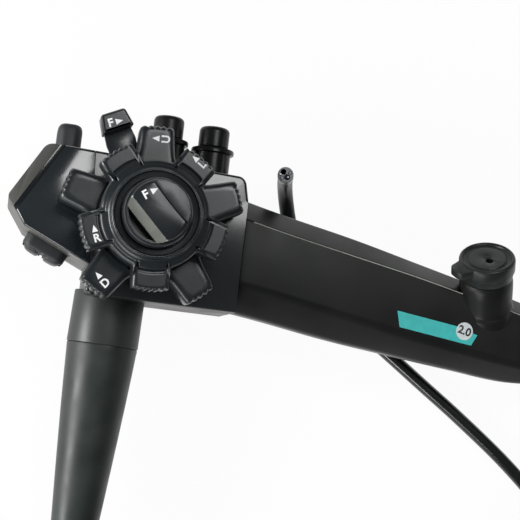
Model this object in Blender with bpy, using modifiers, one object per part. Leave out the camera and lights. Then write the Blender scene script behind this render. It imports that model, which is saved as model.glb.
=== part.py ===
"""Slim flexible endoscope lying on its back: control head, grip, bending tip and umbilical.

The origin is the foot of the knob axis on the flat back of the control head.
+X runs along the grip, +Y towards the valves and +Z up the knob axis.
"""
import math

import bmesh
import bpy
from mathutils import Matrix, Vector

MM = 0.001
GAP = 0.3 * MM
SLIDE_GAP = 0.25 * MM
BACKED = 0.05 * MM

# Facets round large, middling and small turned pieces
LARGE = 30
ROUND = 24
SMALL = 14

# Control head: its sides stand at an angle to the grip
HEAD_TURN = math.radians(10)
HEAD_DEPTH = 42 * MM
HEAD_WALL = 2.2 * MM
HEAD_EDGE = 2.2 * MM
HEAD_TOP_LEFT = 24.2 * MM
HEAD_TOP_RIGHT = 21.4 * MM
HEAD_TOP_CORNER_X = 34.2 * MM
HEAD_RIGHT = 36 * MM
HEAD_SLANT_Y = 13.5 * MM
HEAD_BOTTOM = -29.0 * MM
HEAD_CORNER = 3.5 * MM
COVER_CORNER = 2 * MM
SEAM_TOP = -22 * MM
SEAM_BOTTOM = -19.2 * MM
COVER_SHOULDER = -39.5 * MM
COVER_POINT_X = -51.3 * MM
COVER_POINT_Y = 3.4 * MM
COVER_HEEL_X = -44 * MM
COVER_HEEL_Y = -7 * MM
COVER_CHAMFER = 4.5 * MM
NECK_X = -19.6 * MM
NECK_Y = -18 * MM

# Knob axis: concentric shafts, from the middle outwards
SHAFT_GAP = 0.3 * MM
POST_RADIUS = 1.3 * MM
SHAFT_WALL = 0.8 * MM
SLEEVE_WALL = 1.8 * MM
SLEEVE_FLANGE = 3.2 * MM
DRUM_RADIUS = 4.8 * MM
DRUM_RIM = 1.3 * MM
DRUM_WIDTH = 5 * MM
FRAME_BOTTOM = 6 * MM
FRAME_THICKNESS = 2.5 * MM
DRUM_SPACE = 2 * MM

# Knob stack, as heights above the front of the head
LEVER_RISE = 0.6 * MM
LEVER_THICKNESS = 2.2 * MM
LEVER_RADIUS = 14 * MM
LEVER_BEARING = 126.0
LEVER_WIDTH = 10.2 * MM
PADDLE_INNER = 34.6 * MM
PADDLE_OUTER = 41.3 * MM
PADDLE_TAPER = 0.84
PADDLE_HEIGHT = 9.5 * MM
PADDLE_DROP = 1.2 * MM
UD_RISE = 3.6 * MM
UD_HEIGHT = 11.5 * MM
UD_TIP = 33.4 * MM
UD_VALLEY = 22.5 * MM
UD_FIRST_LOBE = 31.2
UD_WALL = 2.6 * MM
RL_HEIGHT = 10.5 * MM
RL_TIP = 26.6 * MM
RL_VALLEY = 19.2 * MM
RL_FIRST_LOBE = 67.2
RL_DOME_RISE = 4.2 * MM
RL_WALL = 2.6 * MM
LOBES = 5
TIP_HALF_ANGLE = 11.0
FLANK_ANGLE = 11.5
SERRATIONS = 4
SERRATION_DEPTH = 0.55 * MM
KNOB_EDGE = 0.9 * MM
KNOB_HUB = 4.5 * MM
BRAKE_THICKNESS = 2.0 * MM
BRAKE_MARGIN = 1.2 * MM
RIDGE_RADIUS = 15.5 * MM
RIDGE_WIDTH = 2.4 * MM
LOCK_RADIUS = 11.8 * MM
LOCK_HEIGHT = 6.5 * MM
LOCK_BAR_WIDTH = 8.6 * MM
LOCK_BAR_RISE = 3.6 * MM
LOCK_BAR_ANGLE = -34.7
LOCK_FIELD_DEPTH = 2.6 * MM
LOCK_RIM = 1.6 * MM

# Valves on the top side of the head
VALVE_X = (5.4 * MM, 23.2 * MM)
VALVE_HEIGHT = 22 * MM
VALVE_FLANGE_Y = (34.4 * MM, 33.2 * MM)
VALVE_FLANGE_RADIUS = 8.2 * MM
VALVE_FLANGE_THICKNESS = 2.0 * MM
VALVE_COLLAR_RISE = 3.4 * MM
VALVE_BODY_RADIUS = 7.0 * MM
VALVE_BODY_DEPTH = 24 * MM
VALVE_BORE = 4.0 * MM
VALVE_TRAVEL = 2.4 * MM
VALVE_CAP_RADIUS = 5.8 * MM
VALVE_CAP_TOP = (9.4 * MM, 9.0 * MM)
VALVE_CAP_ROOF = 1.4 * MM
VALVE_CAP_WALL = 0.8 * MM
SPRING_WIRE = 0.28 * MM
SPRING_TURNS = 3

# Remote switches
SWITCH_TRAVEL = 0.8 * MM
SWITCH_LEDGE = 1.0 * MM
FRONT_SWITCH_X = -31.4 * MM
FRONT_SWITCH_WIDTH = 10.2 * MM
FRONT_SWITCH_TOP = 35.0 * MM
FRONT_SWITCH_DEPTH = 13 * MM
REAR_SWITCH_WIDTH = 7.3 * MM
REAR_SWITCH_DEPTH = 12.5 * MM
REAR_SWITCH_START = 0.8 * MM
REAR_SWITCH_WEB = 0.7 * MM
REAR_SWITCH_RISE = 5.6 * MM
SWITCH_HEIGHT = 21 * MM

# Grip, along +X from the head to the insertion tube
GRIP_END = 165 * MM
GRIP_WALL = 2.2 * MM
GRIP_AXIS_HEIGHT = 23.5 * MM
GRIP_STATIONS = (0.0, 0.17, 0.38, 0.58, 0.76, 0.90, 1.0)
GRIP_HALF_WIDTHS = (21.0, 19.9, 19.3, 17.9, 16.6, 15.6, 13.2)
GRIP_FULLER = 1.5 * MM
GRIP_CREASES = (12.6, 11.8, 11.5, 11.3, 10.4, 9.6, 8.0)
GRIP_TOPS = (40.6, 40.4, 39.8, 38.6, 37.4, 36.6, 35.0)
GRIP_BOTTOMS = (6.4, 7.0, 7.4, 8.0, 9.0, 10.0, 12.0)
GRIP_START = 26 * MM
RING_LENGTH = 7 * MM
RING_RADIUS = 11.4 * MM
BOOT_LENGTH = 46 * MM
BOOT_ROOT = 10.2 * MM
BOOT_TIP = 4.2 * MM

# Instrument channel inlet, leaning back towards the head
INLET_FOOT = Vector((135.4 * MM, 9.0 * MM, 30.0 * MM))
INLET_BEARING = 118.0
INLET_ELEVATION = 37.0
INLET_LENGTH = 15.5 * MM
INLET_RADIUS = 10.2 * MM
INLET_PORT_RADIUS = 6.2 * MM
INLET_PORT_LENGTH = 6 * MM
SEAL_RADIUS = 10.7 * MM
SEAL_LENGTH = 8.2 * MM
SEAL_SLIT = 1.5 * MM
SEAL_OFFSET = 2.2 * MM

# Umbilical
UMBILICAL_HEADING = math.radians(-81.8)
UMBILICAL_ROOT = Vector((-4.1 * MM, -27.8 * MM, 20.5 * MM))
COLLAR_LENGTH = 19.2 * MM
COLLAR_ROOT = 14.0 * MM
COLLAR_TIP = 13.3 * MM
SPIGOT_RADIUS = 9.0 * MM
SPIGOT_LENGTH = 5.5 * MM
TAPER_LENGTH = 84 * MM
TAPER_ROOT = 13.2 * MM
TAPER_TIP = 7.4 * MM
CABLE_RADIUS = 5.8 * MM
CABLE_COIL_CENTRE = Vector((82.0 * MM, -215.0 * MM, 0.0))
CABLE_COIL_RADIUS = 58.5 * MM
CABLE_COIL_WIDTH = 2
CABLE_COIL_LAYERS = 2

# Light guide connector at the far end of the umbilical
PLUG_AXIS_X = 160.5 * MM
PLUG_START_Y = -189 * MM
PLUG_RADIUS = 21 * MM
PLUG_BOOT_LENGTH = 26 * MM
PLUG_LENGTH = 58 * MM
PLUG_NECK = 13 * MM
PLUG_FACE = 17.5 * MM
GUIDE_RADIUS = 5 * MM
GUIDE_LENGTH = 26 * MM
AIR_PIPE_RADIUS = 2.2 * MM
AIR_PIPE_LENGTH = 17 * MM
AIR_PIPE_OFFSET = 10.5 * MM
NIPPLE_RADIUS = 3.2 * MM
NIPPLE_LENGTH = 11 * MM
SOCKET_RADIUS = 8.5 * MM
SOCKET_LENGTH = 8 * MM

# Insertion tube and its coil
TUBE_RADIUS = 2.65 * MM
TUBE_REST = 0.1 * MM
TUBE_COIL_CENTRE = Vector((227.0 * MM, -38.0 * MM, 0.0))
TUBE_COIL_RADIUS = 29 * MM
TUBE_COIL_WIDTH = 2
TUBE_COIL_LAYERS = 3

# Bending section: alternating hinges, wires on the drums of the two knobs
LINKS = 8
LINK_PITCH = 3.5 * MM
LINK_RADIUS = 2.6 * MM
LINK_WALL = 0.5 * MM
LINK_GAP = 0.15 * MM
TONGUE_RADIUS = 0.95 * MM
TONGUE_GAP = 0.12 * MM
BASE_LENGTH = 3 * MM
UP_LIMIT = math.radians(210)
DOWN_LIMIT = math.radians(120)
SIDE_LIMIT = math.radians(120)
LEFT_LIMIT = math.radians(75)
REST_DOWN = math.radians(79.6)
REST_SIDE = math.radians(29.2)
BEND_FOOT = Vector((56.4 * MM, 21.9 * MM, TUBE_RADIUS + TUBE_REST))
BEND_HEADING = math.radians(120.4)
BEND_ROLL = math.radians(13)
TIP_RADIUS = 3.1 * MM
TIP_LENGTH = 7 * MM
CHANNEL_RADIUS = 1.0 * MM
OBJECTIVE_RADIUS = 1.05 * MM
LIGHT_RADIUS = 0.62 * MM
NOZZLE_RADIUS = 0.42 * MM
TIP_HOLE_DEPTH = 3 * MM

# Smaller than any length here, to compare two of them
TINY = 1e-9

PARTS = None
CUTTERS = None


def clear_scene():
    """Start from an empty scene with one collection for parts and one for cutters."""
    global PARTS, CUTTERS
    for obj in list(bpy.data.objects):
        bpy.data.objects.remove(obj, do_unlink=True)
    PARTS = bpy.data.collections.new("flexible_endoscope")
    CUTTERS = bpy.data.collections.new("cutters")
    bpy.context.scene.collection.children.link(PARTS)
    bpy.context.scene.collection.children.link(CUTTERS)


def material(name, colour, roughness, metallic=0.0):
    """Principled material of one colour."""
    made = bpy.data.materials.new(name)
    made.use_nodes = True
    shader = made.node_tree.nodes["Principled BSDF"]
    shader.inputs["Base Color"].default_value = (*colour, 1.0)
    shader.inputs["Roughness"].default_value = roughness
    shader.inputs["Metallic"].default_value = metallic
    made.diffuse_color = (*colour, 1.0)
    return made


def head_frame():
    """Turn that carries control head coordinates into the part's frame."""
    return Matrix.Rotation(HEAD_TURN, 4, "Z")


def add(name, mesh, place=None, cutter=False):
    """Object from a mesh, in its collection and at its place."""
    obj = bpy.data.objects.new(name, mesh)
    (CUTTERS if cutter else PARTS).objects.link(obj)
    obj.matrix_world = place if place is not None else Matrix.Identity(4)
    if cutter:
        obj.hide_render = True
        obj.display_type = "WIRE"
    return obj


def finish(obj, look, sharp=35.0):
    """Give a part its material and smooth its round faces."""
    obj.data.materials.clear()
    obj.data.materials.append(look)
    obj.data.shade_smooth()
    obj.data.set_sharp_from_angle(angle=math.radians(sharp))
    return obj


def baked(obj):
    """Mesh of an object with its modifiers applied; the object is removed."""
    graph = bpy.context.evaluated_depsgraph_get()
    mesh = bpy.data.meshes.new_from_object(obj.evaluated_get(graph))
    bpy.data.objects.remove(obj, do_unlink=True)
    work = bmesh.new()
    work.from_mesh(mesh)
    bmesh.ops.remove_doubles(work, verts=work.verts, dist=1e-7)
    work.to_mesh(mesh)
    work.free()
    return mesh


def slab(outline, bottom, top):
    """Mesh of a filled outline, extruded from bottom to top."""
    curve = bpy.data.curves.new("outline", "CURVE")
    curve.dimensions = "2D"
    curve.fill_mode = "BOTH"
    curve.extrude = (top - bottom) / 2
    spline = curve.splines.new("POLY")
    spline.points.add(len(outline) - 1)
    for point, (x, y) in zip(spline.points, outline):
        point.co = (x, y, 0, 1)
    spline.use_cyclic_u = True
    obj = bpy.data.objects.new("outline", curve)
    bpy.context.scene.collection.objects.link(obj)
    mesh = baked(obj)
    mesh.transform(Matrix.Translation((0, 0, (top + bottom) / 2)))
    return mesh


def turned(profile, steps, closed=False):
    """Mesh turned about Z; the profile runs top to bottom on its outer side."""
    mesh = bpy.data.meshes.new("profile")
    count = len(profile)
    edges = [(i, i + 1) for i in range(count - 1)]
    if closed:
        edges.append((count - 1, 0))
    mesh.from_pydata([(r, 0, z) for r, z in profile], edges, [])
    obj = bpy.data.objects.new("profile", mesh)
    bpy.context.scene.collection.objects.link(obj)
    screw = obj.modifiers.new("turn", "SCREW")
    screw.steps = steps
    screw.render_steps = steps
    screw.use_merge_vertices = True
    screw.merge_threshold = 1e-6
    return baked(obj)


def washer(inner, outer, bottom, top, steps=ROUND, bevel=0.0):
    """Mesh of a plain or bevelled sleeve about Z."""
    b = bevel
    profile = [(inner, top - b), (inner + b, top), (outer - b, top), (outer, top - b)]
    profile += [(outer, bottom + b), (outer - b, bottom), (inner + b, bottom), (inner, bottom + b)]
    if not bevel:
        profile = [(inner, top), (outer, top), (outer, bottom), (inner, bottom)]
    return turned(profile, steps, closed=True)


def rod(radius, bottom, top, steps=SMALL, bevel=0.0):
    """Mesh of a solid round bar about Z, bevelled at both ends if asked."""
    profile = [(0, top), (radius - bevel, top), (radius, top - bevel)]
    profile += [(radius, bottom + bevel), (radius - bevel, bottom), (0, bottom)]
    if not bevel:
        profile = [(0, top), (radius, top), (radius, bottom), (0, bottom)]
    return turned(profile, steps)


def box(low, high):
    """Mesh of a box between two corners."""
    work = bmesh.new()
    bmesh.ops.create_cube(work, size=1.0)
    size = Vector(high) - Vector(low)
    bmesh.ops.scale(work, vec=size, verts=work.verts)
    bmesh.ops.translate(work, vec=(Vector(high) + Vector(low)) / 2, verts=work.verts)
    mesh = bpy.data.meshes.new("box")
    work.to_mesh(mesh)
    work.free()
    return mesh


def bevel(obj, width, segments=2, angle=40.0):
    """Round the sharp edges of an object."""
    made = obj.modifiers.new("edges", "BEVEL")
    made.width = width
    made.segments = segments
    made.limit_method = "ANGLE"
    made.angle_limit = math.radians(angle)
    return made


def boolean(obj, mesh, operation="DIFFERENCE", place=None):
    """Cut or join an object with a mesh that stays in the cutters' collection."""
    tool = add(obj.name + "_cutter", mesh, place, cutter=True)
    made = obj.modifiers.new(operation.lower(), "BOOLEAN")
    made.operation = operation
    made.solver = "EXACT"
    made.object = tool
    return tool


def aim(origin, direction, twist=0.0):
    """Place with Z along a direction and X level, turned by the twist about it."""
    z = Vector(direction).normalized()
    level = Vector((0, 0, 1)).cross(z)
    x = level.normalized() if level.length > 1e-6 else Vector((1, 0, 0))
    y = z.cross(x)
    turn = Matrix((x, y, z)).transposed().to_4x4()
    return Matrix.Translation(origin) @ turn @ Matrix.Rotation(twist, 4, "Z")


def bearing(degrees, elevation=0.0):
    """Unit vector at an angle about Z and a height above the ground plane."""
    flat = math.cos(math.radians(elevation))
    turn = math.radians(degrees)
    return Vector((flat * math.cos(turn), flat * math.sin(turn), math.sin(math.radians(elevation))))


def rounded(corners, radii, steps=4):
    """Closed outline whose corners are arcs; the corners run anticlockwise."""
    points = []
    count = len(corners)
    for i, (corner, radius) in enumerate(zip(corners, radii)):
        here = Vector(corner)
        back = (Vector(corners[i - 1]) - here).normalized()
        ahead = (Vector(corners[(i + 1) % count]) - here).normalized()
        if radius <= 0:
            points.append(tuple(here))
            continue
        half = back.angle(ahead) / 2
        reach = radius / math.tan(half)
        centre = here + (back + ahead).normalized() * radius / math.sin(half)
        start = here + back * reach - centre
        sweep = math.pi - 2 * half
        turn = math.copysign(1.0, back.cross(ahead)) * -1.0
        for step in range(steps + 1):
            angle = turn * sweep * step / steps
            x = start.x * math.cos(angle) - start.y * math.sin(angle)
            y = start.x * math.sin(angle) + start.y * math.cos(angle)
            points.append((centre.x + x, centre.y + y))
    return points


def head_corners(inset=0.0):
    """Corners of the control head and its end cover, moved inwards by the inset."""
    corners = [
        (HEAD_RIGHT, HEAD_BOTTOM),
        (HEAD_RIGHT, HEAD_SLANT_Y),
        (HEAD_TOP_CORNER_X, HEAD_TOP_RIGHT),
        (COVER_SHOULDER, HEAD_TOP_LEFT),
        (COVER_POINT_X, COVER_POINT_Y),
        (COVER_HEEL_X, COVER_HEEL_Y),
        (NECK_X, NECK_Y),
        (NECK_X, HEAD_BOTTOM + GAP),
    ]
    if not inset:
        return corners
    moved = []
    count = len(corners)
    for i in range(count):
        a, b, c = (Vector(corners[k % count]) for k in (i - 1, i, i + 1))
        first = (b - a).normalized()
        second = (c - b).normalized()
        inward_1 = Vector((-first.y, first.x)) * inset
        inward_2 = Vector((-second.y, second.x)) * inset
        along = (inward_2 - inward_1 + Vector((0, 0))).cross(second) / first.cross(second)
        moved.append(tuple(b + inward_1 + first * along))
    return moved


def head_blank():
    """Outer form of the head and its end cover as one solid."""
    radii = [HEAD_CORNER, 0, HEAD_CORNER, HEAD_CORNER, COVER_CORNER, COVER_CORNER, 0, 0]
    mesh = slab(rounded(head_corners(), radii), 0.0, HEAD_DEPTH)
    blank = add("blank", mesh)
    bevel(blank, HEAD_EDGE, segments=3)
    return baked(blank)


def seam_side(offset):
    """Box that holds what lies beyond the slanted seam, on the end cover's side."""
    slope = (SEAM_BOTTOM - SEAM_TOP) / (HEAD_TOP_LEFT - NECK_Y)
    reach = 60 * MM
    top = SEAM_TOP - slope * (reach - HEAD_TOP_LEFT) - offset
    low = NECK_Y + offset
    outline = [(-2 * reach, low), (SEAM_BOTTOM - offset, low), (top, reach), (-2 * reach, reach)]
    return slab(outline, -reach, reach)


def valve_place(index, along=0.0):
    """Place of a valve: Z points out of the head along the valve's axis."""
    origin = Vector((VALVE_X[index], along, VALVE_HEIGHT))
    turn = head_frame()
    return aim(turn @ origin, turn.to_3x3() @ Vector((0, 1, 0)))


def slope_direction():
    """Unit vector along the lower left side of the end cover, towards the neck."""
    return (Vector((NECK_X, NECK_Y)) - Vector((COVER_HEEL_X, COVER_HEEL_Y))).normalized()


def switch_places():
    """Name, place, size and rise of each remote switch; Z points out of the cover."""
    turn = head_frame()
    front = turn @ Vector((FRONT_SWITCH_X, HEAD_TOP_LEFT, SWITCH_HEIGHT))
    out = turn.to_3x3() @ Vector((0, 1, 0))
    rise = FRONT_SWITCH_TOP - HEAD_TOP_LEFT
    places = [("front_switch", aim(front, out), FRONT_SWITCH_WIDTH, FRONT_SWITCH_DEPTH, rise)]
    along = slope_direction()
    outward = Vector((along.y, -along.x))
    first = REAR_SWITCH_START + REAR_SWITCH_WIDTH / 2
    pitch = REAR_SWITCH_WIDTH + 2 * GAP + REAR_SWITCH_WEB
    for i, name in enumerate(("rear_switch_upper", "rear_switch_lower")):
        foot = Vector((COVER_HEEL_X, COVER_HEEL_Y)) + along * (first + i * pitch + HEAD_CORNER / 2)
        origin = turn @ Vector((foot.x, foot.y, SWITCH_HEIGHT))
        direction = turn.to_3x3() @ Vector((outward.x, outward.y, 0))
        rise = REAR_SWITCH_RISE
        places.append((name, aim(origin, direction), REAR_SWITCH_WIDTH, REAR_SWITCH_DEPTH, rise))
    return places


def switch_outline(width, depth, clearance=0.0):
    """Rounded section of a switch, width across and depth up the head."""
    x = width / 2 + clearance
    y = depth / 2 + clearance
    corner = width / 2.4
    return rounded([(-x, -y), (x, -y), (x, y), (-x, y)], [corner] * 4, steps=2)


def build_head(looks):
    """Head shell and end cover, hollow and open to each other at the seam."""
    turn = head_frame()
    inner = slab(head_corners(HEAD_WALL), HEAD_WALL, HEAD_DEPTH - HEAD_WALL)
    shell = add("head_shell", head_blank(), turn)
    boolean(shell, inner.copy(), place=turn)
    boolean(shell, seam_side(-GAP / 2), place=turn)
    sleeve = shaft_radii()[3][1] + GAP
    boolean(shell, rod(sleeve, HEAD_DEPTH / 2, HEAD_DEPTH + HEAD_WALL, ROUND))
    for index in range(2):
        bore = VALVE_BODY_RADIUS + GAP
        boolean(shell, rod(bore, 0, 2 * HEAD_TOP_LEFT, ROUND), place=valve_place(index))
    passage = grip_section(GRIP_STATIONS[0], GRIP_WALL + 4 * MM)
    opening = slab(passage, -0.5 * GRIP_START, 0.5 * GRIP_START)
    boolean(shell, opening, place=grip_place(HEAD_RIGHT))
    root = umbilical_place(0.0)
    boolean(shell, rod(SPIGOT_RADIUS + GAP, -12 * MM, 12 * MM, ROUND), place=root)
    finish(shell, looks["housing"])

    cover = add("end_cover", head_blank(), turn)
    boolean(cover, inner, place=turn)
    boolean(cover, seam_side(GAP / 2), "INTERSECT", turn)
    edge = Vector((COVER_POINT_X - COVER_SHOULDER, COVER_POINT_Y - HEAD_TOP_LEFT, 0)).normalized()
    middle = Vector(((COVER_SHOULDER + COVER_POINT_X) / 2, (HEAD_TOP_LEFT + COVER_POINT_Y) / 2, 0))
    reach = 30 * MM
    lean = Matrix.Translation(middle + Vector((0, 0, HEAD_DEPTH - COVER_CHAMFER)))
    lean = lean @ Matrix.Rotation(math.atan2(-edge.y, -edge.x), 4, "Z")
    lean = lean @ Matrix.Rotation(math.radians(45), 4, "X")
    boolean(cover, box((-reach, 0, 0), (reach, reach, reach)), place=turn @ lean)
    for name, place, width, depth, rise in switch_places():
        outline = switch_outline(width, depth, GAP)
        boolean(cover, slab(outline, -2 * HEAD_WALL, 2 * HEAD_WALL), place=place)
    finish(cover, looks["cover"])


def shaft_radii():
    """Inner and outer radius of the R/L shaft, U/D shaft, lever tube and sleeve."""
    radii = []
    inner = POST_RADIUS + SHAFT_GAP
    for wall in (SHAFT_WALL, SHAFT_WALL, SHAFT_WALL, SLEEVE_WALL):
        radii.append((inner, inner + wall))
        inner += wall + SHAFT_GAP
    return radii


def levels():
    """Heights of the knob stack, from the lever's plate to the lock knob."""
    lever = HEAD_DEPTH + LEVER_RISE
    ud = HEAD_DEPTH + UD_RISE
    rl = ud + UD_HEIGHT + 2 * GAP
    dome = rl + RL_HEIGHT + RL_DOME_RISE
    well = dome - LOCK_HEIGHT / 2
    return {"lever": lever, "ud": ud, "rl": rl, "dome": dome, "well": well}


def lobed_outline(tip, valley, first_lobe):
    """Star of serrated thumb lobes with hollow flanks."""
    points = []
    pitch = 360.0 / LOBES
    for lobe in range(LOBES):
        middle = first_lobe + lobe * pitch
        for step in range(2 * SERRATIONS + 1):
            offset = -TIP_HALF_ANGLE + 2 * TIP_HALF_ANGLE * step / (2 * SERRATIONS)
            radius = tip - (SERRATION_DEPTH if step % 2 else 0.0)
            points.append((radius, middle + offset))
        flank = (1.0, 0.45, 0.12, 0.0)
        for share, height in zip((0.18, 0.42, 0.72, 1.0), flank[1:] + (0.0,)):
            radius = valley + (tip - valley) * height
            points.append((radius, middle + TIP_HALF_ANGLE + FLANK_ANGLE * share))
        rest = pitch - 2 * (TIP_HALF_ANGLE + FLANK_ANGLE)
        points.append((valley, middle + pitch / 2 - rest / 6))
        points.append((valley, middle + pitch / 2 + rest / 6))
        for share, height in zip((1.0, 0.72, 0.42, 0.18), (0.0,) + flank[:0:-1]):
            radius = valley + (tip - valley) * height
            points.append((radius, middle + pitch - TIP_HALF_ANGLE - FLANK_ANGLE * share))
    cleaned = []
    for radius, degrees in points:
        turn = math.radians(degrees)
        point = Vector((radius * math.cos(turn), radius * math.sin(turn)))
        if not cleaned or (point - Vector(cleaned[-1])).length > 0.05 * MM:
            cleaned.append(tuple(point))
    return cleaned


def build_ud_stack(looks):
    """U/D knob with its shaft and drum, and its lock lever with the brake disc."""
    ud_shaft, lever_tube = shaft_radii()[1:3]
    z = levels()
    knob = add("ud_knob", slab(lobed_outline(UD_TIP, UD_VALLEY, UD_FIRST_LOBE),
                               z["ud"], z["ud"] + UD_HEIGHT))
    bevel(knob, KNOB_EDGE, segments=1, angle=60)
    recess = UD_VALLEY - UD_WALL
    roof = z["ud"] + UD_HEIGHT - UD_WALL
    boolean(knob, washer(KNOB_HUB + ud_shaft[1], recess, z["ud"] - UD_WALL, roof))
    boolean(knob, rod(ud_shaft[1] + GAP, z["ud"] - UD_WALL, z["rl"] + UD_WALL))
    finish(knob, looks["knob"])
    drum_top = drum_levels()[1] + DRUM_WIDTH
    shaft = add("ud_shaft", washer(*ud_shaft, drum_levels()[1] - GAP, z["ud"] + UD_HEIGHT, SMALL))
    finish(shaft, looks["steel"])
    build_drum("ud_drum", drum_levels()[1], ud_shaft[1], looks)

    plate_low = z["lever"]
    plate_high = plate_low + LEVER_THICKNESS
    lever = add("ud_lock_lever", washer(lever_tube[0], LEVER_RADIUS, plate_low, plate_high, ROUND))
    tube = washer(*lever_tube, drum_top + DRUM_SPACE / 2, plate_low + LEVER_THICKNESS / 2, ROUND)
    boolean(lever, tube, "UNION")
    half = LEVER_WIDTH / 2
    arm = slab([(LEVER_RADIUS / 2, -half), (PADDLE_INNER + half, -half),
                (PADDLE_INNER + half, half), (LEVER_RADIUS / 2, half)], plate_low, plate_high)
    turn = Matrix.Rotation(math.radians(LEVER_BEARING), 4, "Z")
    boolean(lever, arm, "UNION", turn)
    corners = [(PADDLE_INNER, -half), (PADDLE_OUTER, -half * PADDLE_TAPER),
               (PADDLE_OUTER, half * PADDLE_TAPER), (PADDLE_INNER, half)]
    low = plate_low - PADDLE_DROP
    paddle = slab(rounded(corners, [1.2 * MM] * 4, 3), low, low + PADDLE_HEIGHT)
    boolean(lever, paddle, "UNION", turn)
    finish(lever, looks["knob"])
    disc_low = plate_high + GAP
    inner = KNOB_HUB + ud_shaft[1] + BRAKE_MARGIN
    disc = washer(inner, recess - BRAKE_MARGIN, disc_low, disc_low + BRAKE_THICKNESS)
    finish(add("ud_brake_disc", disc), looks["brake"])


def drum_levels():
    """Height of the underside of the R/L drum and of the U/D drum."""
    lower = FRAME_BOTTOM + FRAME_THICKNESS + DRUM_SPACE
    return lower, lower + DRUM_WIDTH + DRUM_SPACE


def build_drum(name, low, shaft, looks):
    """Grooved drum that winds one pair of control wires."""
    bore = shaft + GAP / 2
    rim = DRUM_RADIUS + DRUM_RIM
    high = low + DRUM_WIDTH
    middle = (low + high) / 2
    flat = DRUM_WIDTH / 5
    profile = [(bore, high), (rim, high), (rim, middle + 1.5 * flat), (DRUM_RADIUS, middle + flat / 2),
               (DRUM_RADIUS, middle - flat / 2), (rim, middle - 1.5 * flat), (rim, low), (bore, low)]
    finish(add(name, turned(profile, ROUND, closed=True)), looks["brass"])


def build_rl_stack(looks):
    """R/L knob with its shaft and drum, and the lock knob with its brake disc."""
    rl_shaft, ud_shaft = shaft_radii()[:2]
    z = levels()
    low = z["rl"]
    knob = add("rl_knob", slab(lobed_outline(RL_TIP, RL_VALLEY, RL_FIRST_LOBE), low, low + RL_HEIGHT))
    bevel(knob, KNOB_EDGE, segments=1, angle=60)
    shoulder = low + RL_HEIGHT
    inner = RIDGE_RADIUS - RIDGE_WIDTH
    dome = [(0, z["dome"] - 1 * MM), (inner, z["dome"] - 1 * MM), (inner + 0.5 * MM, z["dome"]),
            (RIDGE_RADIUS - 0.4 * MM, z["dome"]), (RIDGE_RADIUS, z["dome"] - 0.6 * MM),
            (RIDGE_RADIUS + 0.6 * MM, z["dome"] - 1.6 * MM), (RL_VALLEY - 1.6 * MM, z["dome"] - 2.2 * MM),
            (RL_VALLEY, shoulder), (RL_VALLEY, low + 2 * KNOB_EDGE), (0, low + 2 * KNOB_EDGE)]
    boolean(knob, turned(dome, LARGE), "UNION")
    well = LOCK_RADIUS + 2 * GAP
    boolean(knob, rod(well, z["well"], z["dome"] + RL_WALL, LARGE))
    cavity = RL_VALLEY - RL_WALL
    roof = z["well"] - RL_WALL
    boolean(knob, washer(KNOB_HUB + rl_shaft[1], cavity, low - RL_WALL, roof))
    boolean(knob, rod(rl_shaft[1] + GAP, low - RL_WALL, z["dome"] + RL_WALL))
    finish(knob, looks["knob"])
    drum = drum_levels()[0]
    shaft = add("rl_shaft", washer(*rl_shaft, drum - GAP, z["well"], SMALL))
    finish(shaft, looks["steel"])
    build_drum("rl_drum", drum, rl_shaft[1], looks)
    disc = add("rl_brake_disc", washer(POST_RADIUS + GAP, LOCK_RADIUS - BRAKE_MARGIN,
                                       z["well"] + GAP, z["well"] + GAP + BRAKE_THICKNESS / 2))
    finish(disc, looks["brake"])
    build_lock_knob(looks, z["well"] + BRAKE_THICKNESS / 2 + 2 * GAP)


def build_lock_knob(looks, low):
    """R/L lock knob: a dished disc with a raised bar across it."""
    top = low + LOCK_HEIGHT
    edge = 0.7 * MM
    field = LOCK_RADIUS - LOCK_RIM
    floor = top - LOCK_FIELD_DEPTH
    profile = [(0, floor), (field - edge, floor), (field, top - edge), (field + edge, top),
               (LOCK_RADIUS - edge, top), (LOCK_RADIUS, top - edge), (LOCK_RADIUS, low), (0, low)]
    knob = add("rl_lock_knob", turned(profile, LARGE))
    half = LOCK_BAR_WIDTH / 2
    end = math.sqrt(LOCK_RADIUS ** 2 - half ** 2) - 0.2 * MM
    bar_top = top + LOCK_BAR_RISE
    section = [(-half, floor - edge), (half, floor - edge), (half, top), (half - 1.2 * MM, bar_top),
               (-half + 2.4 * MM, bar_top), (-half, top)]
    bar = slab(section, -end, end)
    turn = Matrix.Rotation(math.radians(LOCK_BAR_ANGLE), 4, "Z")
    stand = Matrix(((0, 0, 1, 0), (1, 0, 0, 0), (0, 1, 0, 0), (0, 0, 0, 1)))
    boolean(knob, bar, "UNION", turn @ stand)
    boolean(knob, rod(POST_RADIUS + GAP, low - edge, low + LOCK_HEIGHT / 2))
    finish(knob, looks["knob"])


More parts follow.
